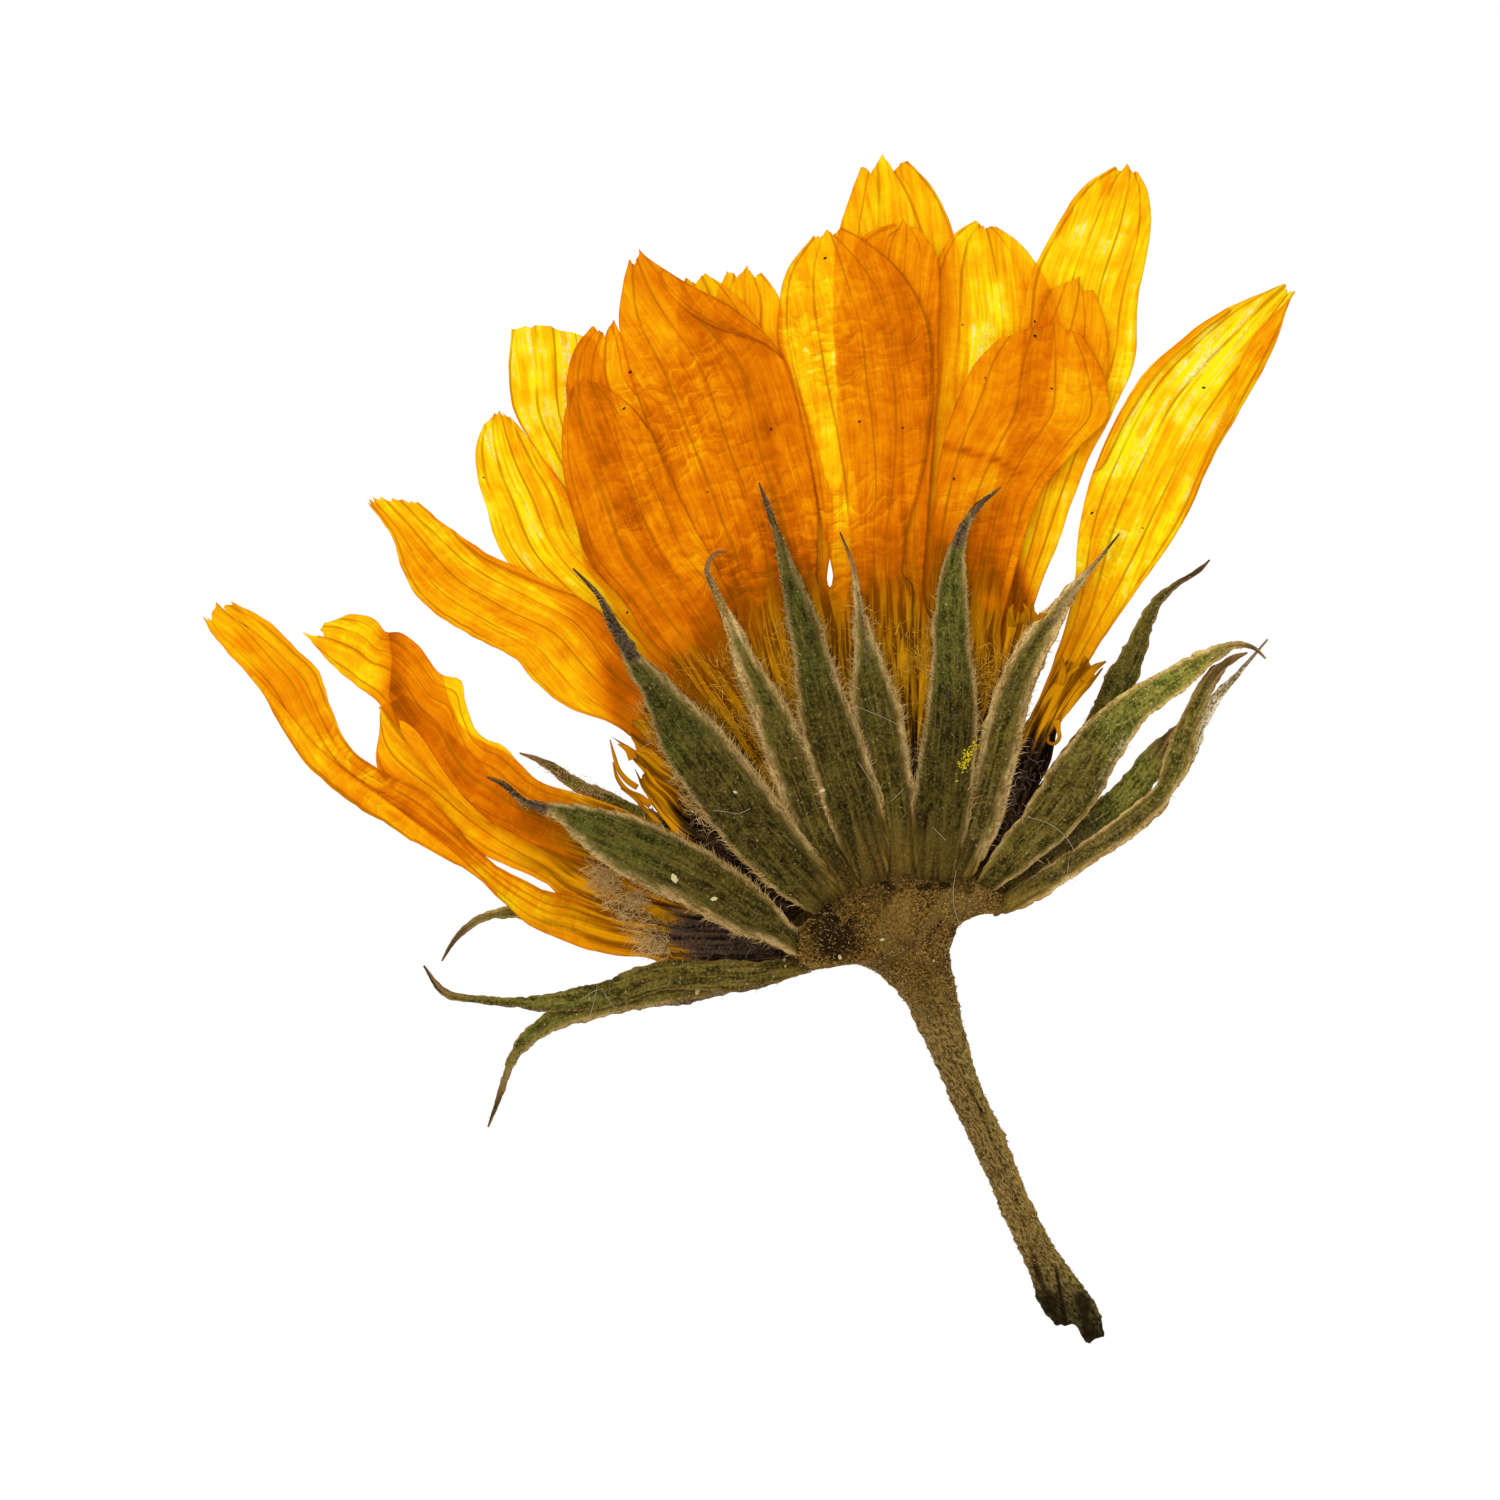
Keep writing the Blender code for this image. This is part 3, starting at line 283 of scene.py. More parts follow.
# Marks on petals and florets: the two ends of a line, how far it spreads, and how many layers
# darker it is; lighter if negative
Mark = namedtuple("Mark", "petal start end spread layers")
MARKS = [Mark(*row) for row in (
    # The first two marks of petal 3 are painted shade beside its fold
    (3, (-17.05, 9.0), (-16.8, 7.2), 0.35, 1.3),
    (3, (-16.9, 6.9), (-16.2, 6.0), 0.45, 1.3),
    (3, (-14.6, 4.2), (-12.4, 3.2), 0.8, 0.5),
    (3, (-12.4, 2.6), (-10.6, 1.6), 0.35, 0.9),
    (3, (-19.2, 8.6), (-17.6, 8.2), 0.5, 0.5),
    (1, (-19.4, 4.4), (-16.6, 3.1), 0.35, 1.4),
    (1, (-17.5, 3.0), (-14.6, 1.6), 0.45, 1.2),
    (1, (-21.9, 8.6), (-20.8, 6.3), 0.3, 0.6),
    (1, (-14.0, 0.9), (-12.6, -0.2), 0.5, 0.2),
    (1, (-16.4, 2.9), (-13.2, 1.3), 0.5, 0.8),
    (4, (-10.4, 9.4), (-9.3, 7.4), 0.7, 0.9),
    (4, (-9.6, 7.6), (-9.1, 5.8), 0.5, 1.8),
    (4, (-11.1, 8.35), (-11.4, 8.1), 0.18, 0.8),
    (9, (-7.3, 19.5), (-6.1, 19.0), 0.4, 0.5),
    (7, (-8.9, 12.8), (-8.0, 9.8), 0.7, 0.6),
    (9, (-5.4, 11.2), (-5.0, 9.6), 0.5, 0.9),
    (13, (0.35, 19.9), (0.7, 17.4), 0.4, 0.3),
    (16, (1.2, 15.2), (2.2, 14.95), 0.12, 1.2),
    (16, (2.2, 14.95), (3.2, 14.7), 0.12, 1.4),
    (16, (3.2, 14.7), (4.0, 14.2), 0.12, 1.2),
    (16, (2.6, 13.0), (2.9, 10.6), 0.45, 1.1),
    (16, (1.2, 12.6), (1.1, 9.6), 0.35, 0.8),
    (12, (0.3, 13.0), (0.2, 8.6), 0.25, 0.8),
    (12, (-2.2, 10.6), (-1.9, 8.4), 0.35, 0.9),
    (9, (-4.6, 13.0), (-4.2, 10.2), 0.35, 0.8),
    (16, (5.9, 15.6), (5.4, 17.4), 0.7, -0.9),
    (16, (1.6, 13.6), (2.6, 13.8), 0.5, -0.5),
    (13, (0.5, 18.5), (0.7, 12.0), 0.5, 0.4),
    (12, (-0.2, 13.5), (0.3, 20.0), 0.5, 0.65),
    (1, (-12.6, 0.0), (-9.0, -1.5), 0.8, -0.7),
    (19, (8.0, 15.0), (10.5, 18.6), 1.0, -0.5),
    (19, (6.6, 9.4), (7.8, 12.6), 1.1, 0.1),
    (18, (3.75, 11.2), (4.0, 9.9), 0.36, 3.6),
    (15, (3.7, 17.4), (4.4, 20.4), 0.6, 0.6),
    (15, (2.6, 17.0), (2.7, 20.8), 0.5, -0.35),
    (15, (1.4, 17.0), (1.2, 21.0), 0.5, 0.5),
    (19, (6.2, 9.6), (6.6, 13.0), 0.25, 0.4),
    (18, (5.3, 21.4), (6.6, 22.6), 0.8, -0.3),
    (15, (2.6, 17.8), (3.0, 20.2), 0.4, -0.5),
    (12, (-3.2, 18.0), (-2.9, 20.5), 0.45, -0.3),
    (31, (-8.3, 3.6), (-7.4, 2.5), 0.45, -1.2),
    (32, (-8.8, 5.0), (-8.1, 4.2), 0.5, 1.2),
    (32, (-7.9, 3.5), (-7.2, 2.8), 0.4, -1.2),
    (33, (-8.6, 6.1), (-7.4, 4.9), 0.6, 1.4),
    (33, (-7.1, 4.2), (-6.7, 3.6), 0.4, -1.0),
)]
# The left ovary darkens the petals over it, as if they were that much nearer to the middle
OVARY_LINE = ((-7.2, -1.1), (-4.5, -1.5))
OVARY_SPREAD = 0.75
OVARY_SHADE = 2.2

# Each petal: how much darker than one plain layer it is, how clearly what lies below it shows,
# how much farther out its brown base starts, how ragged its edges are, how wrinkled it is, how
# much darker it is low in the fan, how much painted shade it has under and beside the bracts and
# how streaked it is
PetalLook = namedtuple("PetalLook", "tone show shift fray wrinkles low stain streaks")
PETAL_LOOKS = [PetalLook(*row) for row in (
    (0.8, 0.9, 1.3, 0.1, 1.1, 0.2, 0.5, 1.3),
    (0.65, 0.6, 1.7, 0.065, 0.5, 0.4, 0.7, 1.3),
    (0.25, 0.9, 0.6, 0.1, 0.6, 0.5, 0.7, 1.2),
    (0.65, 0.8, 0.0, 0.1, 0.35, 0.9, 0.6, 1.5),
    (0.1, 1.0, 0.0, 0.06, 0.3, 1.9, 0.5, 1.5),
    (-0.35, 1.0, 0.0, 0.05, 0.3, 1.9, 0.4, 1.3),
    (1.0, 0.9, 0.0, 0.035, 1.0, 2.6, 0.4, 1.2),
    (1.0, 0.9, 0.0, 0.035, 1.0, 2.7, 0.8, 1.2),
    (1.65, 0.5, 0.0, 0.035, 1.1, 2.6, 0.9, 1.2),
    (0.3, 1.0, 0.0, 0.035, 0.4, 2.3, 0.9, 1.0),
    (0.3, 1.0, 0.0, 0.035, 0.4, 2.3, 0.9, 1.0),
    (0.4, 1.0, 0.0, 0.035, 1.1, 2.3, 0.9, 1.0),
    (0.7, 0.8, 0.0, 0.035, 0.8, 2.3, 0.9, 1.0),
    (0.3, 1.0, 0.0, 0.04, 0.3, 2.3, 0.9, 1.2),
    (0.15, 1.0, 0.0, 0.035, 0.3, 2.3, 0.9, 1.4),
    (0.55, 0.9, 0.0, 0.035, 0.7, 2.5, 0.9, 1.0),
    (0.3, 0.9, 0.0, 0.035, 0.4, 2.3, 0.8, 1.0),
    (0.15, 1.0, 0.0, 0.05, 0.4, 1.4, 0.2, 1.3),
    (0.05, 1.0, 0.6, 0.05, 0.45, 0.5, 0.0, 1.5),
)]
FLORET_LOOK = PetalLook(1.7, 0.7, 1.6, 0.06, 0.2, 0.3, 0.3, 2.2)

# Two kinds of tissue: colour of one layer, how brown its base is, how many veins it has, colours
# of the pleats towards the ovary and in the dark at it, and where that dark is full and where it
# ends
Tissue = namedtuple("Tissue", "name single browner veins golds darks dark_reach")
PETAL_TISSUE = Tissue("Dried orange petal", (1.0, 0.59, 0.006), 1.0, 4.0,
                      ((0.12, 0.040, 0.0006), (0.72, 0.33, 0.003)),
                      ((0.018, 0.010, 0.007), (0.130, 0.072, 0.038)), (4.3, 6.2))
FLORET_TISSUE = Tissue("Dried ochre floret", (0.82, 0.60, 0.003), 0.9, 5.0,
                       ((0.10, 0.034, 0.0005), (0.74, 0.31, 0.003)),
                       ((0.004, 0.002, 0.001), (0.030, 0.015, 0.006)), (5.4, 6.6))

# How much each further layer under a petal deepens its colour, as painted light shining through
# the layers, and how deep a place counts as covered at most; outlines farther away than the reach
# are left out
COVER_WEIGHTS = (0.95, 0.62, 0.38, 0.25)
COVER_LIMIT = 0.6
DEPTH_REACH = 0.8

# Doubled parts of petals with a sharp outline, darker as painted light through two layers: the
# petal, how many layers darker, the outline
Patch = namedtuple("Patch", "petal layers outline")
PATCHES = [Patch(*row) for row in (
    (3, 1.25, ((-17.1, 9.2), (-16.1, 8.9), (-15.3, 7.6), (-15.1, 6.8), (-14.7, 5.85), (-14.2, 5.4),
     (-13.2, 4.95), (-12.0, 4.0), (-10.2, 3.0), (-7.0, 1.4), (-8.0, 0.4), (-10.2, 0.9),
     (-12.2, 1.7), (-14.4, 2.7), (-15.9, 4.4), (-16.7, 5.5), (-17.05, 6.8), (-16.95, 8.0))),
)]

# Petals and florets that are wider where bracts hide their edges: extra width on the left and on
# the right, and the distances from the head's middle where it ends and where it is full
WIDER = {
    1: ((0.0, 0.32, 11.9, 10.9), (0.35, 0.0, 8.8, 7.6)), 2: ((0.32, 0.18, 11.9, 10.9),),
    5: ((0.0, 0.9, 17.0, 14.2),), 6: ((0.9, 0.6, 17.0, 14.2),), 7: ((0.5, 0.6, 14.0, 12.0),),
    8: ((0.6, 0.6, 12.5, 9.5),), 9: ((0.6, 0.45, 11.1, 10.2),), 10: ((0.6, 0.6, 11.1, 10.2),),
    11: ((0.5, 0.5, 10.9, 10.2),), 12: ((0.45, 0.5, 11.0, 10.2),), 13: ((0.5, 0.5, 10.4, 8.8),),
    14: ((0.4, 0.4, 10.4, 8.8),), 15: ((0.5, 0.5, 10.4, 8.8),), 16: ((0.5, 0.6, 9.6, 8.0),),
    17: ((0.5, 0.5, 9.6, 8.0),), 18: ((0.6, 0.0, 9.6, 8.0),), 31: ((0.3, 0.35, 8.2, 6.5),
    (0.0, 0.35, 9.3, 8.5)), 32: ((0.3, 0.35, 8.2, 6.5), (0.0, 0.35, 9.3, 8.3)),
    33: ((0.3, 0.35, 8.2, 6.5),), 34: ((0.3, 0.35, 8.2, 6.5),), 35: ((0.3, 0.35, 8.2, 6.5),),
}

# Where hairs grow in the plan: the outline of the place, the layer they lie on, how many there
# are on a square millimetre, their length, the name of their colour, and how strongly they point
# outwards
Fuzz = namedtuple("Fuzz", "name outline layer density length tint lean")
FUZZ = [Fuzz(*row) for row in (
    ("golden_fuzz_left", ((-9.0, 5.8), (-8.4, 7.4), (-7.0, 8.7), (-5.4, 9.5), (-4.2, 9.9),
     (-3.0, 9.8), (-2.0, 9.4), (-1.6, 5.7), (-3.0, 4.8), (-4.6, 4.2), (-6.6, 3.8), (-8.0, 4.4)),
     8.1, 210.0, 0.34, "gold", 0.9),
    ("golden_fuzz_right", ((-2.2, 9.6), (-1.2, 10.0), (0.0, 9.8), (1.2, 9.6), (2.6, 9.4),
     (4.0, 8.8), (4.6, 7.6), (4.6, 6.0), (4.0, 5.6), (2.4, 5.4), (0.6, 5.2), (-1.0, 5.3)), 8.1,
     210.0, 0.34, "gold", 0.9),
    ("tan_fuzz_left", ((-8.9, 6.5), (-8.5, 6.8), (-7.5, 5.0), (-6.5, 3.4), (-5.9, 2.4),
     (-6.4, 2.2), (-7.1, 3.2), (-8.1, 5.0)), 9.4, 190.0, 0.34, "straw", 1.2),
    ("tube_hairs", ((-10.5, 1.4), (-10.3, 0.6), (-9.8, -0.3), (-9.2, -1.2), (-8.6, -1.75),
     (-7.5, -1.95), (-7.5, -1.4), (-8.1, -0.6), (-8.4, 0.2), (-9.4, 0.9)), 5.9, 460.0, 0.32,
     "straw", 1.0),
    ("ovary_hairs_left", ((-8.3, -0.4), (-6.0, -0.9), (-3.8, -1.35), (-3.6, -1.9), (-7.8, -2.0),
     (-8.4, -1.3)), 5.6, 260.0, 0.26, "dark", 0.5),
    ("ovary_hairs_middle", ((-7.4, 2.6), (-6.4, 2.9), (-4.0, 0.6), (-3.2, -0.2), (-4.6, 0.0),
     (-6.4, 1.5)), 8.4, 110.0, 0.28, "dark", 0.4),
    ("ovary_hairs_right", ((2.5, 0.9), (3.3, 3.4), (3.9, 5.2), (4.6, 5.4), (5.0, 4.6), (4.0, 2.4),
     (3.0, 1.1)), 8.4, 110.0, 0.36, "dark", 0.4),
    ("ovary_hairs_far_right", ((3.5, 0.3), (5.6, 2.6), (6.3, 3.1), (6.6, 2.4), (4.9, 1.0)), 6.6,
     100.0, 0.38, "dark", 0.4),
    ("crevice_hairs_left", ((-4.2, 3.9), (-3.4, 3.3), (-2.6, 1.6), (-2.1, 0.9), (-2.3, 0.7),
     (-3.0, 1.6), (-4.0, 3.2)), 8.6, 110.0, 0.2, "dark", 0.3),
    ("silver_hairs_left", ((-8.0, -0.15), (-6.8, -0.3), (-5.0, -1.0), (-4.0, -1.45), (-4.2, -1.7),
     (-5.6, -1.3), (-7.4, -0.7)), 6.6, 120.0, 0.24, "silver", 0.3),
    ("silver_hairs_middle", ((-7.1, 1.75), (-6.6, 1.95), (-5.7, 1.1), (-6.1, 0.9)), 9.0, 120.0,
     0.22, "silver", 0.3),
    ("silver_hairs_right", ((3.75, 5.3), (4.1, 5.1), (3.85, 3.8), (3.3, 2.3), (3.05, 2.4),
     (3.5, 3.9)), 9.4, 110.0, 0.24, "silver", 0.3),
    ("pale_hairs_far_left", ((-12.1, 4.75), (-11.2, 4.4), (-10.4, 3.9), (-9.7, 3.5), (-9.7, 3.1),
     (-10.5, 3.5), (-11.3, 4.0), (-12.1, 4.45)), 2.4, 700.0, 0.24, "fringe", 0.3),
)]
# Radius of these hairs at the root, how much they curl, how far they stray, and their seeds
FUZZ_RADIUS = 0.017
FUZZ_CURL = 1.0
FUZZ_SCATTER = 0.9
FUZZ_SEED = 30
# The surface that carries them: seed of its pattern, the distance of its points and its height
# over its layer; how far inside their outline golden hairs and others are at their densest, and
# how fast golden ones thin out beside the bracts
FUZZ_PATTERN = 800
FUZZ_GRID = 0.15
FUZZ_HEIGHT = 0.09
FUZZ_BORDER = 2.2
PLAIN_BORDER = 0.3
FUZZ_REACH = 0.45
# Hairs lie at most the gap over the sheet below them; none grow where it is farther down than the
# drop, or where their surface is steeper than the step
FUZZ_GAP = 0.30
FUZZ_DROP = 1.1
FUZZ_STEP = 0.2

# How wide a bract's pale margin is on its left and right, how pale it is near the foot and near
# the tip, how green and how light its middle is, how far its tip lifts, how far out its brown foot
# reaches, how much lighter its outer part is, how papery it is and how hairy its margins are
BractLook = namedtuple("BractLook",
                       "left right pale paler green light lift foot gain papery hairs")
BRACT_LOOKS = [BractLook(*row) for row in (
    (0.06, 0.04, 0.15, 0.1, 0.6, 1.5, 0.25, 6.5, 0.2, 0.0, 0.08),
    (0.24, 0.05, 0.5, 0.25, 0.65, 1.42, 0.2, 5.4, 0.1, 0.0, 0.3),
    (0.32, 0.17, 0.85, 0.85, 0.8, 0.96, 0.3, 4.4, 0.1, 0.0, 0.9),
    (0.15, 0.3, 0.85, 0.55, 0.65, 0.88, 0.35, 4.4, 0.1, 0.0, 1.0),
    (0.36, 0.26, 0.9, 0.8, 0.45, 1.05, 0.3, 4.2, 0.2, 0.0, 1.0),
    (0.18, 0.26, 0.85, 0.3, 0.65, 0.86, 0.25, 3.8, 0.1, 0.0, 1.0),
    (0.26, 0.28, 0.9, 0.7, 0.4, 0.98, 0.2, 3.8, 0.3, 0.0, 1.0),
    (0.16, 0.18, 0.8, 0.4, 0.75, 0.75, 0.4, 3.8, 0.95, 0.0, 0.8),
    (0.28, 0.32, 0.85, 0.75, 0.4, 1.24, 0.25, 4.0, 0.4, 0.0, 0.85),
    (0.16, 0.14, 0.55, 0.3, 0.7, 1.38, 0.3, 4.4, 1.35, 0.0, 0.25),
    (0.08, 0.08, 0.4, 0.3, 0.45, 1.1, 0.25, 5.0, 0.2, 0.0, 0.15),
    (0.12, 0.2, 0.65, 0.3, 0.35, 1.75, 0.3, 6.5, 0.15, 0.0, 0.25),
    (0.06, 0.06, 0.3, 0.2, 1.0, 1.9, 0.15, 4.5, 0.2, 0.0, 0.05),
    (0.2, 0.2, 0.6, 0.6, 0.4, 1.4, 0.15, 3.0, 0.2, 0.7, 0.05),
    (0.12, 0.1, 0.4, 0.3, 0.85, 1.45, 0.1, 4.0, 0.1, 0.0, 1.0),
    (0.12, 0.12, 0.5, 0.4, 0.3, 1.4, 0.1, 4.0, 0.1, 0.0, 0.1),
)]

# Marks on bracts: the bract, the two ends of a line, how far it spreads, and how pale and papery
# it is there; purple brown if negative. The pale line on bract 3's lower edge is a painted glint.
BRACT_MARKS = (
    (2, (-4.2, -2.85), (-9.6, -3.9), 0.18, -0.75),
    (1, (-11.8, -3.7), (-14.4, -3.4), 0.12, -0.6),
    # Painted glint: a pale line along bract 3's lower edge, where light shows through a gap
    (3, (-9.6, 1.0), (-8.3, 0.4), 0.08, 0.45),
    (3, (-11.9, 3.1), (-13.7, 4.1), 0.3, -0.9),
    (4, (-8.9, 8.2), (-10.9, 11.0), 0.35, -1.0),
    (7, (-1.05, 7.8), (-1.4, 10.2), 0.16, -0.6),
    (8, (1.9, 11.9), (2.1, 12.5), 0.22, -1.1),
    (8, (2.5, 12.9), (2.9, 13.4), 0.22, -1.1),
    (8, (1.6, 6.9), (1.62, 6.7), 0.1, -0.9),
    (8, (1.74, 6.3), (1.76, 6.1), 0.09, -0.9),
    (9, (5.0, 9.2), (6.4, 11.1), 0.3, -0.55),
    (10, (6.65, 4.0), (7.45, 5.4), 0.2, 0.3),
    (12, (5.0, 0.8), (8.0, 2.9), 0.4, -0.45),
)

# Marks on the stem: the two ends of a line, how far it spreads, and how dark it is; pale if
# negative. The pale lines along its edges are painted rim light.
STEM_MARKS = (
    ((-2.5, 0.0), (-1.9, -1.2), 0.75, 1.25),
    ((-2.8, -1.1), (-2.2, -1.8), 0.4, 0.6),
    ((-1.5, 0.3), (1.9, 0.62), 0.26, 1.1),
    ((1.5, -4.9), (2.7, -7.0), 0.06, 0.6),
    ((2.7, -7.0), (3.2, -8.3), 0.06, 0.6),
    ((3.2, -8.3), (3.9, -10.0), 0.06, 0.5),
    ((3.9, -10.0), (4.6, -12.5), 0.07, 0.4),
    ((4.5, -12.0), (5.0, -13.6), 0.16, 0.7),
    ((5.2, -12.2), (5.55, -14.2), 0.07, 0.9),
    ((5.0, -13.4), (5.2, -14.1), 0.3, 0.9),
    ((6.1, -13.3), (6.4, -14.5), 0.34, 1.0),
    ((0.35, 0.5), (0.1, -0.9), 0.45, -0.5),
    # These pale lines along the edges of the receptacle and stalk are painted rim light
    ((-3.0, -2.2), (-1.2, -2.05), 0.12, -0.7),
    ((1.95, -0.8), (3.3, -0.3), 0.12, -0.7),
    ((1.65, -1.3), (2.1, -4.2), 0.1, -0.6),
    ((2.35, -5.1), (4.4, -10.4), 0.14, -0.7),
    ((4.6, -10.5), (6.7, -13.8), 0.1, -0.6),
)
# Small bumps on the left and on the right edge of the stalk: where they are on it and their height
STEM_BUMPS = (((9.4, 0.09), (12.2, 0.06)), ((8.9, 0.08), (4.6, 0.06)))

# Thin curled lobes of the small florets: the floret, then a middle line with half its width
LOBES = (
    (2, ((-8.75, 3.75, 0.1), (-9.05, 3.95, 0.1), (-9.35, 4.3, 0.08), (-9.52, 4.8, 0.06),
     (-9.66, 5.35, 0.02))),
    (1, ((-8.3, 3.15, 0.12), (-8.65, 3.42, 0.12), (-9.05, 3.62, 0.09), (-9.4, 4.05, 0.07),
     (-9.56, 4.6, 0.02))),
    (1, ((-8.0, 2.55, 0.08), (-8.45, 3.0, 0.07), (-8.85, 3.4, 0.05), (-9.3, 3.72, 0.02))),
    (2, ((-8.9, 4.7, 0.16), (-9.05, 5.0, 0.12), (-9.4, 5.2, 0.02))),
    (5, ((5.2, 6.0, 0.14), (5.25, 5.7, 0.08), (5.28, 5.4, 0.07), (5.1, 5.2, 0.06),
     (4.9, 5.3, 0.05), (4.95, 5.45, 0.02))),
    (4, ((3.75, 9.1, 0.14), (3.65, 9.5, 0.1), (3.75, 9.85, 0.02))),
    (4, ((4.15, 9.2, 0.14), (4.22, 9.6, 0.1), (4.1, 9.88, 0.02))),
    (4, ((4.45, 9.1, 0.14), (4.65, 9.45, 0.09), (4.9, 9.55, 0.02))),
    (5, ((6.1, 7.3, 0.16), (6.5, 7.75, 0.12), (6.85, 7.95, 0.03))),
    (5, ((5.3, 7.2, 0.16), (5.4, 7.7, 0.12), (5.35, 8.15, 0.03))),
)

# The bed of the florets between the bracts: its edge towards the petals and its foot
BED_EDGE = (
    (-5.6, -1.5), (-4.8, -1.1), (-4.35, -0.2), (-3.6, 0.9), (-2.6, 1.7), (-1.2, 2.2), (0.4, 2.35),
    (1.8, 2.2), (3.0, 1.9), (4.0, 1.4), (4.4, 0.8),
)
BED_FOOT = (
    (-5.6, -2.15), (-4.6, -2.2), (-3.6, -2.15), (-2.6, -1.8), (-1.6, -0.6), (-0.8, -0.2),
    (0.2, 0.0), (1.2, -0.1), (2.2, -0.2), (3.2, -0.1), (4.3, 0.3),
)

# Dark specks on the petals, then pale chaff on the bracts: place and size
SPECKS = (
    (-9.0, 17.6, 0.07), (-9.2, 16.4, 0.06), (-2.5, 21.4, 0.06), (-1.35, 15.95, 0.06),
    (0.1, 15.75, 0.05), (4.5, 18.8, 0.07), (4.5, 19.3, 0.05), (5.05, 17.05, 0.05),
    (2.85, 17.4, 0.04), (10.15, 17.1, 0.06), (6.4, 12.9, 0.06), (-6.3, 19.85, 0.05),
    (-4.3, 15.7, 0.05), (1.8, 14.05, 0.06), (-9.1, 9.6, 0.05), (-7.6, 20.2, 0.04),
    (-6.4, 13.6, 0.04), (2.1, 19.2, 0.04), (-13.9, 14.1, 0.04), (8.1, 12.4, 0.04),
)
CHAFF = (
    (-7.5, 0.72, 0.16), (-6.2, 0.05, 0.11), (-2.6, 3.65, 0.1), (-5.5, 3.6, 0.07),
    (-3.85, -2.0, 0.07), (-3.82, -2.2, 0.05), (-6.75, -3.05, 0.12), (-2.5, 3.1, 0.06),
    (-0.6, -1.3, 0.08), (-2.0, -1.9, 0.09), (1.1, -2.0, 0.06), (3.5, 4.1, 0.05),
)

# Grains of pollen: middle of the patch and its reach, how many there are, smallest and largest
POLLEN = (2.25, 4.8, 0.42, 0.62)
POLLEN_GRAINS = 110
POLLEN_SIZES = (0.020, 0.045)

# Loose pale fibres that lie on the flower: their points, thickness and height, and how far one
# sinks from point to point at most; then how low such things can lie
FIBRES = (
    ((-1.6, 6.5), (-1.1, 6.3), (-0.5, 6.05), (0.0, 5.8)),
    ((-6.2, 3.0), (-5.8, 2.95), (-5.4, 2.88), (-5.2, 2.95), (-5.0, 3.05)),
    ((-1.4, 4.6), (-1.2, 4.3), (-1.0, 4.0), (-0.7, 3.8)),
    ((1.1, 2.4), (1.25, 2.25), (1.5, 2.0)),
    ((1.85, 1.0), (1.75, 0.3), (1.8, -0.3), (2.0, -0.9)),
    ((4.0, 2.8), (4.7, 2.65), (5.3, 2.3), (5.6, 1.95), (5.8, 1.6)),
    ((5.6, 1.3), (5.58, 1.0), (5.5, 0.6)),
    ((-10.1, -2.9), (-10.2, -3.4), (-10.35, -3.9)),
    ((-9.85, -3.1), (-9.7, -3.35), (-9.5, -3.6)),
    ((-0.3, 3.3), (-0.1, 3.5), (0.1, 3.7)),
    ((-10.6, -3.3), (-10.2, -3.05), (-9.9, -2.95)),
)
FIBRE_THICKNESS = 0.018
FIBRE_HEIGHT = 0.05
FIBRE_DROP = 0.03
DEBRIS_LOWEST = 0.03

# Hairs on the bracts and the stem: name, slot and colour of each coat, how many hairs there are on
# a square millimetre, their length, their radius at the root as a share of it, how much they curl,
# how far they stray, and their seed
HairCoat = namedtuple("HairCoat", "name slot tint density length stoutness curl scatter seed")
HAIR_COATS = (
    HairCoat("margin_hairs", "bract", "fringe", 170.0, 0.30, 0.055, 0.4, 0.55, 21),
    HairCoat("margin_fringe", "bract", "fringe", 240.0, 0.085, 0.17, 0.3, 0.6, 23),
    HairCoat("bract_hairs", "bract", "olive", 26.0, 0.10, 0.11, 0.3, 0.9, 22),
    HairCoat("stem_hairs", "stalk", "fringe", 60.0, 0.10, 0.17, 0.2, 0.7, 24),
)
# Colours of all hairs at the root and at the tip
HAIR_TINTS = {
    "gold": ((0.34, 0.125, 0.002), (1.0, 0.58, 0.030)),
    "straw": ((0.38, 0.23, 0.060), (0.95, 0.70, 0.31)),
    "dark": ((0.016, 0.008, 0.005), (0.27, 0.17, 0.105)),
    "fringe": ((0.30, 0.17, 0.040), (0.76, 0.52, 0.20)),
    "olive": ((0.08, 0.058, 0.010), (0.30, 0.24, 0.085)),
    "silver": ((0.09, 0.060, 0.050), (0.40, 0.32, 0.29)),
}

# Camera straight above: middle and side of what it sees, its lens and sensor, and the level over
# the floor where it sees just that
PHOTO_CENTRE = (-5.0, 5.0)
PHOTO_SIDE = 50.0
LENS = 250.0
SENSOR = 36.0
FLOWER_LEVEL = 1.2

# Ground, in metres: half its side and how far it lies under the floor; then the light of the
# room, and the window's side, place and power
GROUND_SIDE = 0.5
GROUND_DEPTH = 0.00003
ROOM_LIGHT = 0.72
WINDOW_SIDE = 0.45
WINDOW_PLACE = (-0.16, 0.20, 0.50)
WINDOW_POWER = 1.3
WHITE = (1.0, 1.0, 1.0, 1.0)


# ---------------------------------------------------------------- plans and heights

def smooth(low, high, value):
    """Smooth share of the way from low to high."""
    share = np.clip((value - low) / (high - low), 0.0, 1.0)
    return share * share * (3.0 - 2.0 * share)


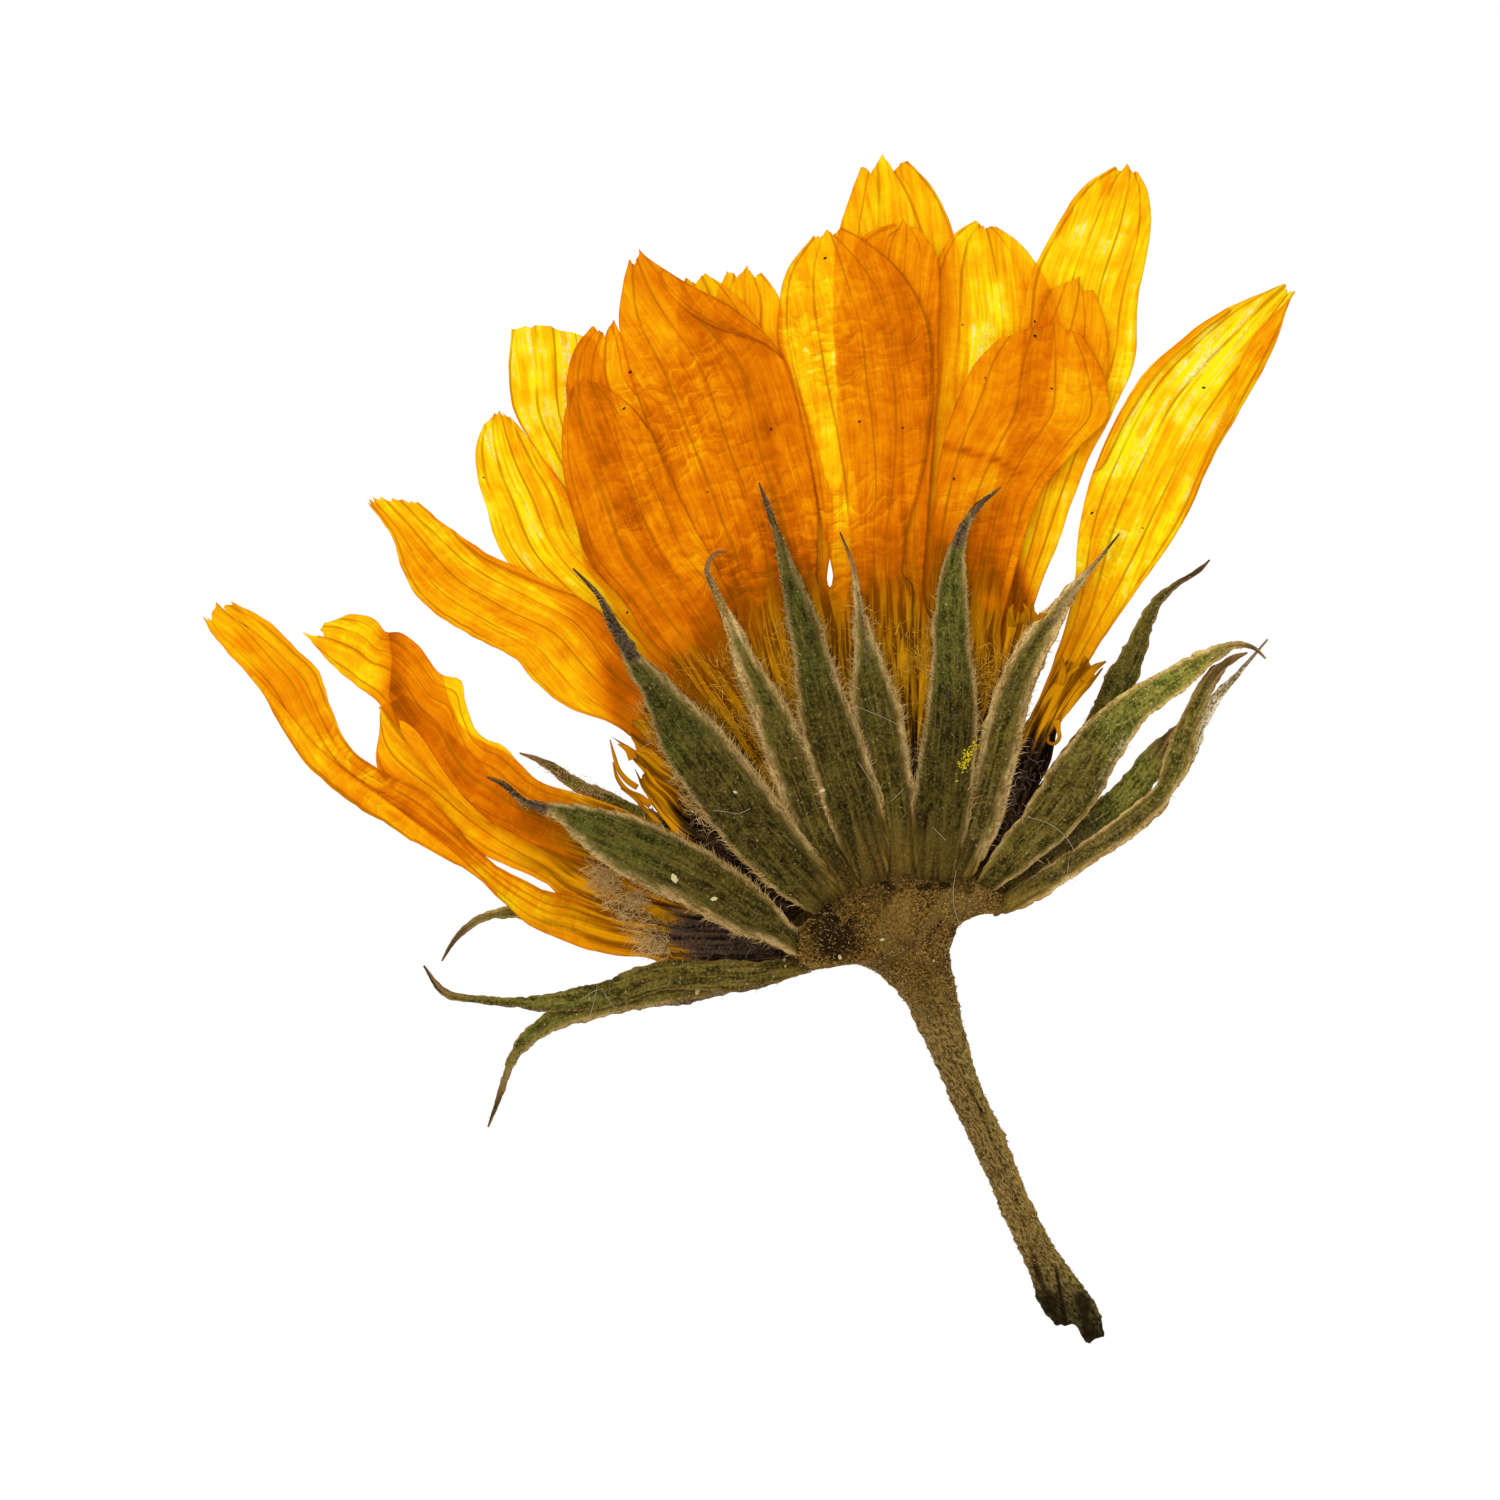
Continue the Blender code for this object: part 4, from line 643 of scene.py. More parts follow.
def uneven(x, y, size, seed):
    """Smooth field between -1 and 1 with lumps of about the given size."""
    cells = 64
    values = np.random.default_rng(seed).uniform(-1.0, 1.0, (cells, cells))
    u, v = np.broadcast_arrays(np.asarray(x) / size, np.asarray(y) / size)
    i, j = np.floor(u).astype(int), np.floor(v).astype(int)
    s, t = smooth(0.0, 1.0, u - i), smooth(0.0, 1.0, v - j)
    low, high = (values[i % cells, k % cells] * (1.0 - s) + values[(i + 1) % cells, k % cells] * s
                 for k in (j, j + 1))
    return low * (1.0 - t) + high * t


def layered(x, y, *fields):
    """Sum of uneven fields, each given by its strength, size and seed."""
    return sum(strength * uneven(x, y, size, seed) for strength, size, seed in fields)


def own_seed(number, extra=0.0):
    """A share that is different for each piece, for its own pattern."""
    return (number * SEED_STEP + extra) % 1.0


def unit(steps):
    """The same directions with a length of one."""
    return steps / np.maximum(np.linalg.norm(steps, axis=-1, keepdims=True), 1e-6)


def sideways(line):
    """Directions square to a line at each of its points, to its right."""
    ahead = unit(np.gradient(line, axis=0))
    return np.stack((ahead[:, 1], -ahead[:, 0]), axis=1)


def smooth_curve(points):
    """Closely spaced points of a smooth curve through the given ones."""
    knots = np.array(points, dtype=float)
    ends = np.vstack((2.0 * knots[:1] - knots[1:2], knots, 2.0 * knots[-1:] - knots[-2:-1]))
    steps = np.diff(ends, axis=0)
    gaps = np.linalg.norm(steps, axis=1)[:, None]
    back, ahead = gaps[:-1], gaps[1:]
    slopes = (steps[:-1] * (ahead / back) + steps[1:] * (back / ahead)) / (back + ahead)
    part = np.linspace(0.0, 1.0, CURVE_STEPS + 1)[1:, None]
    curve = [knots[:1]]
    for i in range(len(knots) - 1):
        reach = gaps[i + 1] / 3.0
        bend = knots[i] + slopes[i] * reach
        turn = knots[i + 1] - slopes[i + 1] * reach
        curve.append((1.0 - part) ** 3 * knots[i] + 3.0 * (1.0 - part) ** 2 * part * bend
                     + 3.0 * (1.0 - part) * part ** 2 * turn + part ** 3 * knots[i + 1])
    return np.vstack(curve)


def travel_of(line):
    """Distance travelled along a line at each of its points."""
    return np.concatenate(([0.0], np.cumsum(np.linalg.norm(np.diff(line, axis=0), axis=1))))


def resample(line, at, places):
    """Points at the given places of a line whose own points lie at others."""
    return np.stack([np.interp(places, at, column) for column in line.T], axis=1)


def spread(line, shares):
    """Points at the given shares of a line's length."""
    travel = travel_of(line)
    return resample(line, travel, shares * travel[-1])


def end_lines(points, across):
    """Points of the outline of an end, and of the straight line between its two corners."""
    points = np.array(points, dtype=float)
    ends = resample(points, np.arange(len(points)), across * (len(points) - 1))
    return ends, ends[0] + (ends[-1] - ends[0]) * across[:, None]


def stations(rows):
    """Shares of a length from base to tip, closer near the tip."""
    return 1.0 - (1.0 - np.linspace(0.0, 1.0, rows)) ** TIP_CROWDING


def between(first, second, shares):
    """Rows of points at the given shares of the way from one line to another."""
    return first[:, None] + (second - first)[:, None] * shares[None, :, None]


def strip(left, right, shares, across):
    """Plan between two smooth edges, the direction across it, and the travel along the left."""
    left, right = smooth_curve(left), smooth_curve(right)
    a, b = spread(left, shares), spread(right, shares)
    return between(a, b, across), unit(b - a)[:, None], travel_of(left)[-1] * shares


def push_edges(plan, side, across, power, waves):
    """Pushes the left and the right edge of a plan outwards by uneven amounts."""
    for sign, share, wave in zip((-1.0, 1.0), (1.0 - across, across), waves):
        plan = plan + sign * wave[:, None, None] * (share ** power)[None, :, None] * side
    return plan


def border(grid):
    """The outermost entries of a grid, once around it."""
    return np.concatenate((grid[0], grid[1:-1, -1], grid[-1, ::-1], grid[-2:0:-1, 0]))


def layer_height(x, y):
    """Height of one layer of the pressed stack."""
    settled = 1.0 + (OUTER_SHARE - 1.0) * smooth(HEAD_RADIUS, OUTER_RADIUS, np.hypot(x, y))
    wave = 2.0 * math.pi / RIPPLE_LENGTH
    return LAYER_HEIGHT * settled * (1.0 + RIPPLE_SHARE * np.sin(wave * x) * np.sin(wave * y))


def swell(x, y):
    """Wrinkles that all sheets share, so that none comes through another."""
    coarse = 0.5 + 0.5 * uneven(x, y, 2.6, 11)
    fine = 0.5 + 0.5 * uneven(x, y, 0.9, 12)
    return (0.11 * coarse + 0.05 * fine) * smooth(3.0, 9.0, np.hypot(x, y))


class Sheet:
    """One thin piece: its plan as rows of points from base to tip, and the heights over them."""

    def __init__(self, kind, number, shape, look, plan):
        self.name, self.node = f"{kind.piece}_{number:02d}", f"{kind.node}_{number:02d}"
        self.number, self.layer, self.look = kind.first + number, shape.layer, look
        self.plan, self.x, self.y = plan, plan[..., 0], plan[..., 1]
        self.radius = np.hypot(self.x, self.y)
        self.shares = stations(kind.rows)
        self.across = np.linspace(0.0, 1.0, plan.shape[1])
        self.span = np.linalg.norm(plan[:, -1] - plan[:, 0], axis=1)
        self.along = travel_of(plan[:, plan.shape[1] // 2])
        self.loop = border(plan)
        level = shape.layer + (shape.tip_layer - shape.layer) * smooth(SETTLE_SHARE, 1.0,
                                                                       self.shares)
        self.top = (FLOOR_CLEARANCE + kind.thickness
                    + level[:, None] * layer_height(self.x, self.y) + swell(self.x, self.y))
        edge = np.minimum(self.across, 1.0 - self.across)[None, :] * self.span[:, None]
        end = (self.along[-1] - self.along)[:, None]
        self.rim = np.minimum(edge, end + 0.02)


def blade_plan(kind, number, blade, fray):
    """Plan of a petal or floret: its two edges, its teeth, and the small unevenness of both."""
    shares, across = stations(kind.rows), np.linspace(0.0, 1.0, kind.columns + 1)
    plan, side, travel = strip(blade.left + (blade.tip[0],), blade.right + (blade.tip[-1],),
                               shares, across)
    tip, chord = end_lines(blade.tip, across)
    padded = np.pad(tip, ((4, 4), (0, 0)), "edge")
    soft = np.mean([padded[k:k + len(tip)] for k in range(9)], axis=0)
    inner = smooth(0.0, 0.12, across) * smooth(1.0, 0.88, across)
    tip = tip + TOOTH_SHARPNESS * inner[:, None] * (tip - soft)
    plan = plan + smooth(1.0 - TIP_SHARE, 1.0, shares)[:, None, None] * (tip - chord)
    radius = np.hypot(plan[..., 0], plan[..., 1])
    extra = np.zeros(radius.shape)
    for left, right, end, full in WIDER.get(kind.first + number, ()):
        extra += (across * right - (1.0 - across) * left) * smooth(end, full, radius)
    plan = plan + (extra * smooth(1.5, 5.0, radius))[..., None] * side
    first, last = (kind.seed + 3 * number + k for k in (1, 2))
    plan = push_edges(plan, side, across, 4, [
        (0.6 * uneven(travel, 0.0, 1.1, seed) + 0.4 * uneven(travel, 3.0, 0.35, seed))
        * fray * smooth(0.15, 0.3, shares) for seed in (first, last)])
    nicks = fray * 1.2 * uneven(across * 9.0, last, 0.5, last)
    return plan + (smooth(0.95, 1.0, shares)[:, None, None] * nicks[None, :, None]
                   * unit(plan[-1] - plan[-4])[None])


def bract_plan(number, bract):
    """Plan of a bract, square to its middle line, with slightly uneven margins."""
    shares = stations(BRACT.rows)
    foot, after = np.array(bract.spine[0]), np.array(bract.spine[1])
    back = (after - foot)[:2] / np.linalg.norm((after - foot)[:2])
    root = (foot[0] - 0.8 * back[0], foot[1] - 0.8 * back[1], foot[2] * 0.45)
    middle = spread(smooth_curve((root,) + bract.spine), shares)
    travel = travel_of(middle[:, :2])
    across = np.linspace(-1.0, 1.0, BRACT.columns + 1)
    radius = np.hypot(middle[:, 0], middle[:, 1])
    wider = FOOT_WIDENING if number in WIDE_FEET else 0.0
    half = middle[:, 2] + wider * smooth(4.6, 3.4, radius) * smooth(0.4, 1.6, radius)
    half = np.repeat(half[:, None], BRACT.columns + 1, axis=1)
    seed = BRACT.seed + 3 * number
    for k, weight in enumerate((np.clip(-across, 0, 1) ** 2, np.clip(across, 0, 1) ** 2)):
        waves = layered(travel, k * 3.0, (0.040, 0.9, seed), (0.040, 0.28, seed + 1),
                        (0.030, 0.13, seed + 2))
        half = half + waves[:, None] * weight * smooth(0.0, 0.25, middle[:, 2])[:, None]
    return middle[:, None, :2] + sideways(middle[:, :2])[:, None] * (half * across)[..., None]


def inside_depth(places, loop):
    """How far each place lies inside a closed outline, negative outside it."""
    points = places.reshape(-1, 2)
    depth = np.full(len(points), -1.0)
    low, high = loop.min(axis=0) - DEPTH_REACH, loop.max(axis=0) + DEPTH_REACH
    near = np.flatnonzero(((points > low) & (points < high)).all(axis=1))
    if len(near):
        step = np.roll(loop, -1, axis=0) - loop
        length = np.maximum((step ** 2).sum(axis=1), 1e-12)
        x, y = points[near, 0][:, None], points[near, 1][:, None]
        dx, dy = x - loop[:, 0], y - loop[:, 1]
        part = np.clip((dx * step[:, 0] + dy * step[:, 1]) / length, 0.0, 1.0)
        gap = np.sqrt(((dx - part * step[:, 0]) ** 2 + (dy - part * step[:, 1]) ** 2).min(axis=1))
        rises = (loop[:, 1] > y) != (loop[:, 1] + step[:, 1] > y)
        slope = np.where(np.abs(step[:, 1]) < 1e-12, 1e-12, step[:, 1])
        crossed = rises & (dx < step[:, 0] * dy / slope)
        depth[near] = np.where(crossed.sum(axis=1) % 2 == 1, gap, -gap)
    return depth.reshape(places.shape[:-1])


def covers_of(places, outlines):
    """How deep each place lies inside the outlines around it, the deepest outlines first."""
    depths = [np.full(places.shape[:-1], -1.0)] * len(COVER_WEIGHTS)
    depths += [inside_depth(places, loop) for loop in outlines]
    ranked = np.sort(np.stack(depths), axis=0)[::-1]
    return cover_values(np.clip(ranked[:len(COVER_WEIGHTS)], -COVER_LIMIT, COVER_LIMIT))


def cover_values(depths):
    """Named values of the covers of a petal."""
    return {f"cover_{k}": depth for k, depth in enumerate(depths, 1)}


def mark_strength(places, start, end, wide):
    """Strength of a mark at each place: 1 on the line between two points, fading around it."""
    points = places.reshape(-1, 2)
    start, step = np.array(start), np.array(end) - np.array(start)
    part = np.clip(((points - start) @ step) / (step @ step), 0.0, 1.0)
    distance = np.linalg.norm(points - start - part[:, None] * step, axis=1)
    return np.exp(-(distance / wide) ** 2).reshape(places.shape[:-1])


def height_at(piece, place):
    """Height of a sheet or the stem at its point nearest to a place."""
    return piece.top.ravel()[np.argmin(((piece.plan.reshape(-1, 2) - place) ** 2).sum(axis=1))]


def height_under(pieces, places, ceiling, floor):
    """Height of the uppermost piece that lies under each place and its ceiling, or the floor."""
    height = np.full(len(places), floor)
    for piece in pieces:
        for k in np.flatnonzero(inside_depth(places, piece.loop) > 0.0):
            top = height_at(piece, places[k])
            if top < ceiling[k]:
                height[k] = max(height[k], top)
    return height


# ---------------------------------------------------------------- meshes and pieces

def grid_faces(shape):
    """Numbers of the points of a grid, and the faces between them."""
    index = np.arange(shape[0] * shape[1]).reshape(shape[:2])
    corners = index[:-1, :-1], index[:-1, 1:], index[1:, 1:], index[1:, :-1]
    return index, np.stack(corners, axis=-1).reshape(-1, 4)


def over_grid(values, index):
    """Named values spread out to one number for each point of a grid."""
    return {name: np.broadcast_to(value, index.shape).ravel() for name, value in values.items()}


class Skin:
    """Vertices, faces and named values of a mesh, gathered part by part."""

    def __init__(self):
        self.points, self.faces, self.values, self.count = [], [], {}, 0

    def add(self, points, faces, values):
        """Adds a part; values are arrays with one number or vector for each of its points."""
        points = np.asarray(points, dtype=float).reshape(-1, 3)
        self.faces.extend((np.asarray(face) + self.count).tolist() for face in faces)
        for name in {**self.values, **values}:
            kept = self.values.setdefault(name, [])
            value = np.asarray(values.get(name, 0.0), dtype=float)
            width = kept[0].shape[1:] if kept else value.shape[1:]
            missing = self.count - sum(len(block) for block in kept)
            if missing:
                kept.append(np.zeros((missing, *width)))
            kept.append(np.broadcast_to(value, (len(points), *width)))
        self.points.append(points)
        self.count += len(points)

    def grid(self, top, low, values, low_values=None):
        """Adds a closed sheet between two grids of points, the upper one looking up."""
        index, quads = grid_faces(top.shape)
        rim, size = border(index), index.size
        following = np.roll(rim, -1)
        wall = np.stack((rim + size, following + size, following, rim), axis=-1)
        upper, lower = (over_grid(side, index) for side in (values,
                                                            {**values, **(low_values or {})}))
        self.add(np.concatenate((top.reshape(-1, 3), low.reshape(-1, 3))),
                 np.concatenate((quads, quads[:, ::-1] + size, wall)),
                 {name: np.concatenate((upper[name], lower[name])) for name in values})

    def rounded(self, top, low, values):
        """Adds a closed body whose sides curve inwards from the upper grid to the lower one."""
        index, quads = grid_faces(top.shape)
        rim, size = border(index), index.size
        edge, foot = top.reshape(-1, 3)[rim], low.reshape(-1, 3)[rim]
        part = (np.arange(1, SIDE_RINGS) / SIDE_RINGS)[:, None, None]
        turn = 1.0 - np.sqrt(1.0 - part ** 2)
        side = edge + (foot - edge) * np.concatenate((turn, turn, part), axis=2)
        inward = (foot - edge)[None, :, :2]
        inward = inward / np.maximum(np.linalg.norm(inward, axis=2, keepdims=True), 0.05)
        lumps = layered(travel_of(edge[:, :2])[None, :], side[..., 2],
                        (1.0, 0.5, 421), (1.0, 0.2, 422))
        side[..., :2] += inward * (0.045 + 0.045 * lumps)[..., None] * np.sin(part * math.pi)
        flat = over_grid(values, index)
        drop = edge[None, :, 2] - side[..., 2]
        ring = {name: np.broadcast_to(value[rim], drop.shape) for name, value in flat.items()}
        ring["across"] = ring["across"] + drop * 0.6 * np.sign(
            flat["across"][rim] - flat["across"].mean())
        ring["shade"] = ring["shade"] * (1.0 - part[..., 0]) ** 2
        rings = np.vstack((rim, 2 * size + np.arange(drop.size).reshape(drop.shape), rim + size))
        following = np.roll(rings, -1, axis=1)
        walls = np.stack((rings[1:], following[1:], following[:-1], rings[:-1]), axis=-1)
        self.add(np.concatenate((top.reshape(-1, 3), low.reshape(-1, 3), side.reshape(-1, 3))),
                 np.concatenate((quads, quads[:, ::-1] + size, walls.reshape(-1, 4))),
                 {name: np.concatenate((value, value, ring[name].ravel()))
                  for name, value in flat.items()})

    def mesh(self, name, material=None):
        """The gathered parts as a smooth mesh in metres, with their values as attributes."""
        mesh = bpy.data.meshes.new(name)
        mesh.from_pydata((np.concatenate(self.points) * MM).tolist(), [], self.faces)
        for key, blocks in self.values.items():
            value = np.concatenate(blocks)
            kind, field = ("FLOAT", "value") if value.ndim == 1 else ("FLOAT_VECTOR", "vector")
            mesh.attributes.new(key, kind, "POINT").data.foreach_set(field, value.ravel())
        if material:
            mesh.materials.append(material)
        mesh.shade_smooth()
        return mesh


def add_piece(name, mesh, slot, *nodes):
    """Shows a mesh as a piece of the flower, in place of the CAD nodes it stands for."""
    piece = bpy.data.objects.new(name, mesh)
    bpy.context.scene.collection.objects.link(piece)
    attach(piece, "root")
    if nodes:
        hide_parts(*nodes)


# ---------------------------------------------------------------- nodes

class Value:
    """One number in a tree of nodes. A sum with it adds the Math nodes that work it out."""

    def __init__(self, nodes, socket):
        self.nodes = nodes
        self.socket = socket

    def maths(self, operation, *terms):
        """The result of one Math node."""
        return self.nodes.add("ShaderNodeMath", dict(enumerate(terms)), operation=operation)

    def __add__(self, other):
        return self.maths("ADD", self, other)

    __radd__ = __add__

    def __sub__(self, other):
        return self.maths("SUBTRACT", self, other)

    def __rsub__(self, other):
        return self.maths("SUBTRACT", other, self)

    def __mul__(self, other):
        return self.maths("MULTIPLY", self, other)

    __rmul__ = __mul__

    def __truediv__(self, other):
        return self.maths("DIVIDE", self, other)

    def __rpow__(self, other):
        return self.maths("POWER", other, self)

    def __abs__(self):
        return self.maths("ABSOLUTE", self)

    def rise(self, low, high):
        """From 0 at low to 1 at high, smoothly."""
        return self.nodes.add("ShaderNodeMapRange", {0: self, 1: low, 2: high},
                              interpolation_type="SMOOTHSTEP")

    def fall(self, low, high):
        """From 1 at low to 0 at high, smoothly."""
        return 1.0 - self.rise(low, high)


class Nodes:
    """The nodes of one tree, which one method adds."""

    def __init__(self, tree):
        self.tree = tree

    def add(self, kind, inputs=None, output=0, **settings):
        """A node with its settings made and its inputs fed; returns one of its outputs."""
        node = self.tree.nodes.new(kind)
        for name, value in settings.items():
            setattr(node, name, value)
        for name, value in (inputs or {}).items():
            if isinstance(value, Value):
                self.tree.links.new(value.socket, node.inputs[name])
            else:
                node.inputs[name].default_value = value
        return Value(self, node.outputs[output]) if node.outputs else None


class Finish(Nodes):
    """A material made of nodes."""

    def __init__(self, name):
        self.material = bpy.data.materials.new(name)
        self.material.use_nodes = True
        super().__init__(self.material.node_tree)
        self.tree.nodes.clear()

    def read(self, *names):
        """Named values of the mesh: one, or a list of them."""
        values = [self.add("ShaderNodeAttribute", None, "Fac", attribute_name=name)
                  for name in names]
        return values if len(values) > 1 else values[0]

    def vector(self, x, y, z=0.0):
        """Three numbers as a place or a colour."""
        return self.add("ShaderNodeCombineXYZ", {0: x, 1: y, 2: z})

    def noise(self, place, size, detail=2.0, **inputs):
        """Cloudy value from 0 to 1 with clouds of the given size."""
        return self.add("ShaderNodeTexNoise",
                        {"Vector": place, "Scale": 1.0 / size, "Detail": detail, **inputs})

    def mix(self, share, first, second, blend="MIX"):
        """Colour between two colours."""
        return self.add("ShaderNodeMix", {0: share, 6: solid(first), 7: solid(second)}, 2,
                        data_type="RGBA", blend_type=blend)

    def coats(self, colour, *coats):
        """A colour with others laid over it, each given by its share and itself."""
        for share, coat in coats:
            colour = self.mix(share, colour, coat)
        return colour

    def place(self):
        """Object coordinates in millimetres."""
        return self.add("ShaderNodeVectorMath",
                        {0: self.add("ShaderNodeTexCoord", None, "Object"), "Scale": 1.0 / MM},
                        operation="SCALE")

    def finish(self, colour, roughness, height, deep, specular):
        """Puts the colours, the roughness and the bump on the surface."""
        bump = self.add("ShaderNodeBump",
                        {"Height": height, "Distance": deep * MM, "Strength": 1.0})
        self.end(self.add("ShaderNodeBsdfPrincipled",
                          {"Base Color": colour, "Roughness": roughness, "Normal": bump,
                           "Specular IOR Level": specular}))
        return self.material

    def end(self, surface):
        """Makes this the surface of the material."""
        self.add("ShaderNodeOutputMaterial", {"Surface": surface})


def solid(colour):
    """A colour with its opacity, or a socket as it is."""
    return colour if isinstance(colour, Value) else (*colour, 1.0)


# ---------------------------------------------------------------- petals and florets

def petal_finish(tissue):
    """Dried petal: painted light through the layers under it deepens its orange; veins, fibres,
    wrinkles show.
    """
    f = Finish(tissue.name)
    across, along, span, seed, tone, wrinkled, rim, reach, show, streaks, patch, doubled = f.read(
        "across", "along", "span", "seed", "tone", "wrinkled", "rim", "radius", "show",
        "streaks", "patch", "patch_layers")
    middle = (across - 0.5) * span
    own = seed * 50.0
    drift = f.noise(f.vector(across * 2.0, along / 6.0, own), 1.0, 1.0)
    crowd = f.noise(f.vector(across * 2.6, own), 1.0, 1.0)
    share = across + (drift - 0.5) * 0.14 + (crowd - 0.5) * 0.30
    place = f.place()
    fibre = f.noise(f.vector(middle, along * 0.045, own), 0.085, 3.0)
    streak = f.noise(f.vector(middle, along * 0.09, own + 5.0), 0.22, 3.0)
    wide_streak = f.noise(f.vector(middle, along * 0.16, own + 7.0), 0.7, 2.0)
    cloud = f.noise(place, 1.9, 3.0)
    blotch = f.noise(place, 0.6, 3.0)
    grit = f.noise(place, 0.08, 2.0)
    sway = (cloud - 0.5) * 2.2 + (blotch - 0.5) * 0.6
    ripple = f.noise(f.vector(middle * 0.40, along + sway, own + 3.0), 0.24, 1.0)
    small_ripple = f.noise(f.vector(middle * 0.5, along + sway * 0.7, own + 4.0), 0.12, 1.0)
    crease = (1.0 - abs(ripple * 2.0 - 1.0)).rise(0.78, 1.0)
    bands = ripple.rise(0.30, 0.70) * 0.72 + small_ripple.rise(0.30, 0.70) * 0.28

    def lines(count, offset, thin, wide):
        phase = share * count + offset
        gap = abs(phase.maths("FRACT", phase) - 0.5) * span / count
        return gap.fall(thin, wide)

    patchy = f.noise(f.vector(across * 9.0, along / 3.0, seed * 90.0), 1.0, 1.0)
    main = lines(tissue.veins, seed, 0.014, 0.055) * patchy.rise(0.22, 0.46)
    small = lines(tissue.veins * 3.0, seed * 2.0, 0.0, 0.045) * streak.rise(0.42, 0.62)
    layers = 1.0 + tone + patch.rise(-0.04, 0.04) * doubled + abs(patch).fall(0.0, 0.08) * 0.35
    # Painted light through the layers under the petal: each cover deepens the colour, with a
    # darker line at its outline
    for k, weight in enumerate(COVER_WEIGHTS, 1):
        cover = f.read(f"cover_{k}")
        layers = (layers + cover.rise(-0.05, 0.05) * show * weight
                  + abs(cover).fall(0.02, 0.09) * show * (0.18 * weight))
    layers = layers + main * 0.50 + small * 0.10
    layers = layers + ((fibre - 0.5) * 1.7 + (streak - 0.5) * 1.3
                       + (wide_streak - 0.5) * 1.8) * streaks
    layers = layers + (cloud - 0.5) * 1.3 + (blotch - 0.5) * 1.6 + (grit - 0.5) * 0.6
    layers = layers + rim.fall(0.0, 0.10) * (0.15 + streak * 0.5)
    # Painted light and shade of the wrinkles: lighter and darker bands and darker creases, on top
    # of their bump
    layers = layers + ((bands - 0.5) * 1.1 + crease * 0.12) * wrinkled
    near = reach + (cloud - 0.5) * 2.0 + (wide_streak - 0.5) * 3.5 + (streak - 0.5) * 4.0
    base = near.fall(7.2, 12.6) * tissue.browner
    layers = layers.maths("MAXIMUM", layers + base, 0.3)
    layers = layers.maths("MINIMUM", layers, 5.2)
    red = math.e ** (layers * layers * layers * -0.0085) * tissue.single[0]
    green = tissue.single[1] ** layers
    colour = f.add("ShaderNodeCombineColor",
                   {"Red": red, "Green": green, "Blue": green * tissue.single[2]})
    vein = main * streak.rise(0.32, 0.52) + small * 0.2
    gleam = (1.05 - layers).rise(0.0, 0.45) * fibre.rise(0.48, 0.60) * grit.rise(0.42, 0.58)
    pleat = (streak * 0.55 + fibre * 0.45).rise(0.43, 0.57)
    colour = f.coats(
        colour,
        # Olive brown veins, and pale gleams where the tissue is thinnest
        (vein * 0.52, (0.42, 0.155, 0.0)), (gleam * 0.85, (1.0, 0.93, 0.50)),
        # Towards the ovary the tissue is pleated, golden and brown, and then dark
        (base * 0.88, f.mix(pleat, *tissue.golds)),
        (near.fall(*tissue.dark_reach), f.mix(pleat, *tissue.darks)))
    height = (fibre * 0.3 + streak * 0.3 + grit * 0.16 + bands * wrinkled * 0.6
              + blotch * 0.4 - main * 0.2)
    return f.finish(colour, 0.42 + streak * 0.25, height, 0.06, 0.0)


def petal_values(sheet, sheets, bracts):
    """Named values of a petal's upper side, and the covers of its underside."""
    x, y, radius, look = sheet.x, sheet.y, sheet.radius, sheet.look
    tone = look.tone + look.low * smooth(13.2, 8.8, radius) * (0.8 + 0.5 * uneven(x, y, 1.0, 32))
    for mark in MARKS:
        if mark.petal == sheet.number:
            tone += mark.layers * mark_strength(sheet.plan, mark.start, mark.end, mark.spread)
    # Painted shade: petals are darker under the bracts and just beside them
    stain = np.max([inside_depth(sheet.plan, bract.loop) for bract in bracts], axis=0)
    stain = smooth(-0.75, 0.0, stain) * smooth(13.4, 11.4, radius)
    tone += look.stain * stain * (0.9 + 0.5 * uneven(x, y, 0.5, 33))
    wrinkled = (smooth(8.5, 11.0, radius) * smooth(23.0, 18.5, radius) * look.wrinkles
                * np.clip(0.75 + 0.7 * uneven(x, y, 2.2, 31 + sheet.number), 0.0, 2.0))
    below, above = (covers_of(sheet.plan, [other.loop for other in sheets
                                           if sign * (other.layer - sheet.layer) > 0.0])
                    for sign in (-1.0, 1.0))
    shade = OVARY_SHADE * mark_strength(sheet.plan, *OVARY_LINE, OVARY_SPREAD)
    values = tissue_values(
        below, across=sheet.across, along=sheet.along[:, None], span=sheet.span[:, None],
        seed=own_seed(sheet.number), rim=sheet.rim, tone=tone, show=look.show,
        streaks=look.streaks, wrinkled=wrinkled, radius=radius - look.shift - shade)
    for patch in PATCHES:
        if patch.petal == sheet.number:
            depth = inside_depth(sheet.plan, np.array(patch.outline))
            values["patch"] = np.clip(depth, -COVER_LIMIT, COVER_LIMIT)
            values["patch_layers"] = patch.layers
    return values, above


def tissue_values(covers, **values):
    """Named values for all places of a part of a petal; what isn't given is plain."""
    return {"show": 1.0, "streaks": 1.0, "wrinkled": 0.0, "patch": -1.0, "patch_layers": 0.0,
            **covers, **values}


def sheet_grids(plan, top, thickness, rim):
    """Upper and lower points of a sheet that thins out to its edge."""
    low = top - thickness * (0.35 + 0.65 * smooth(0.0, 0.15, rim))
    return np.dstack((plan, top)), np.dstack((plan, low))


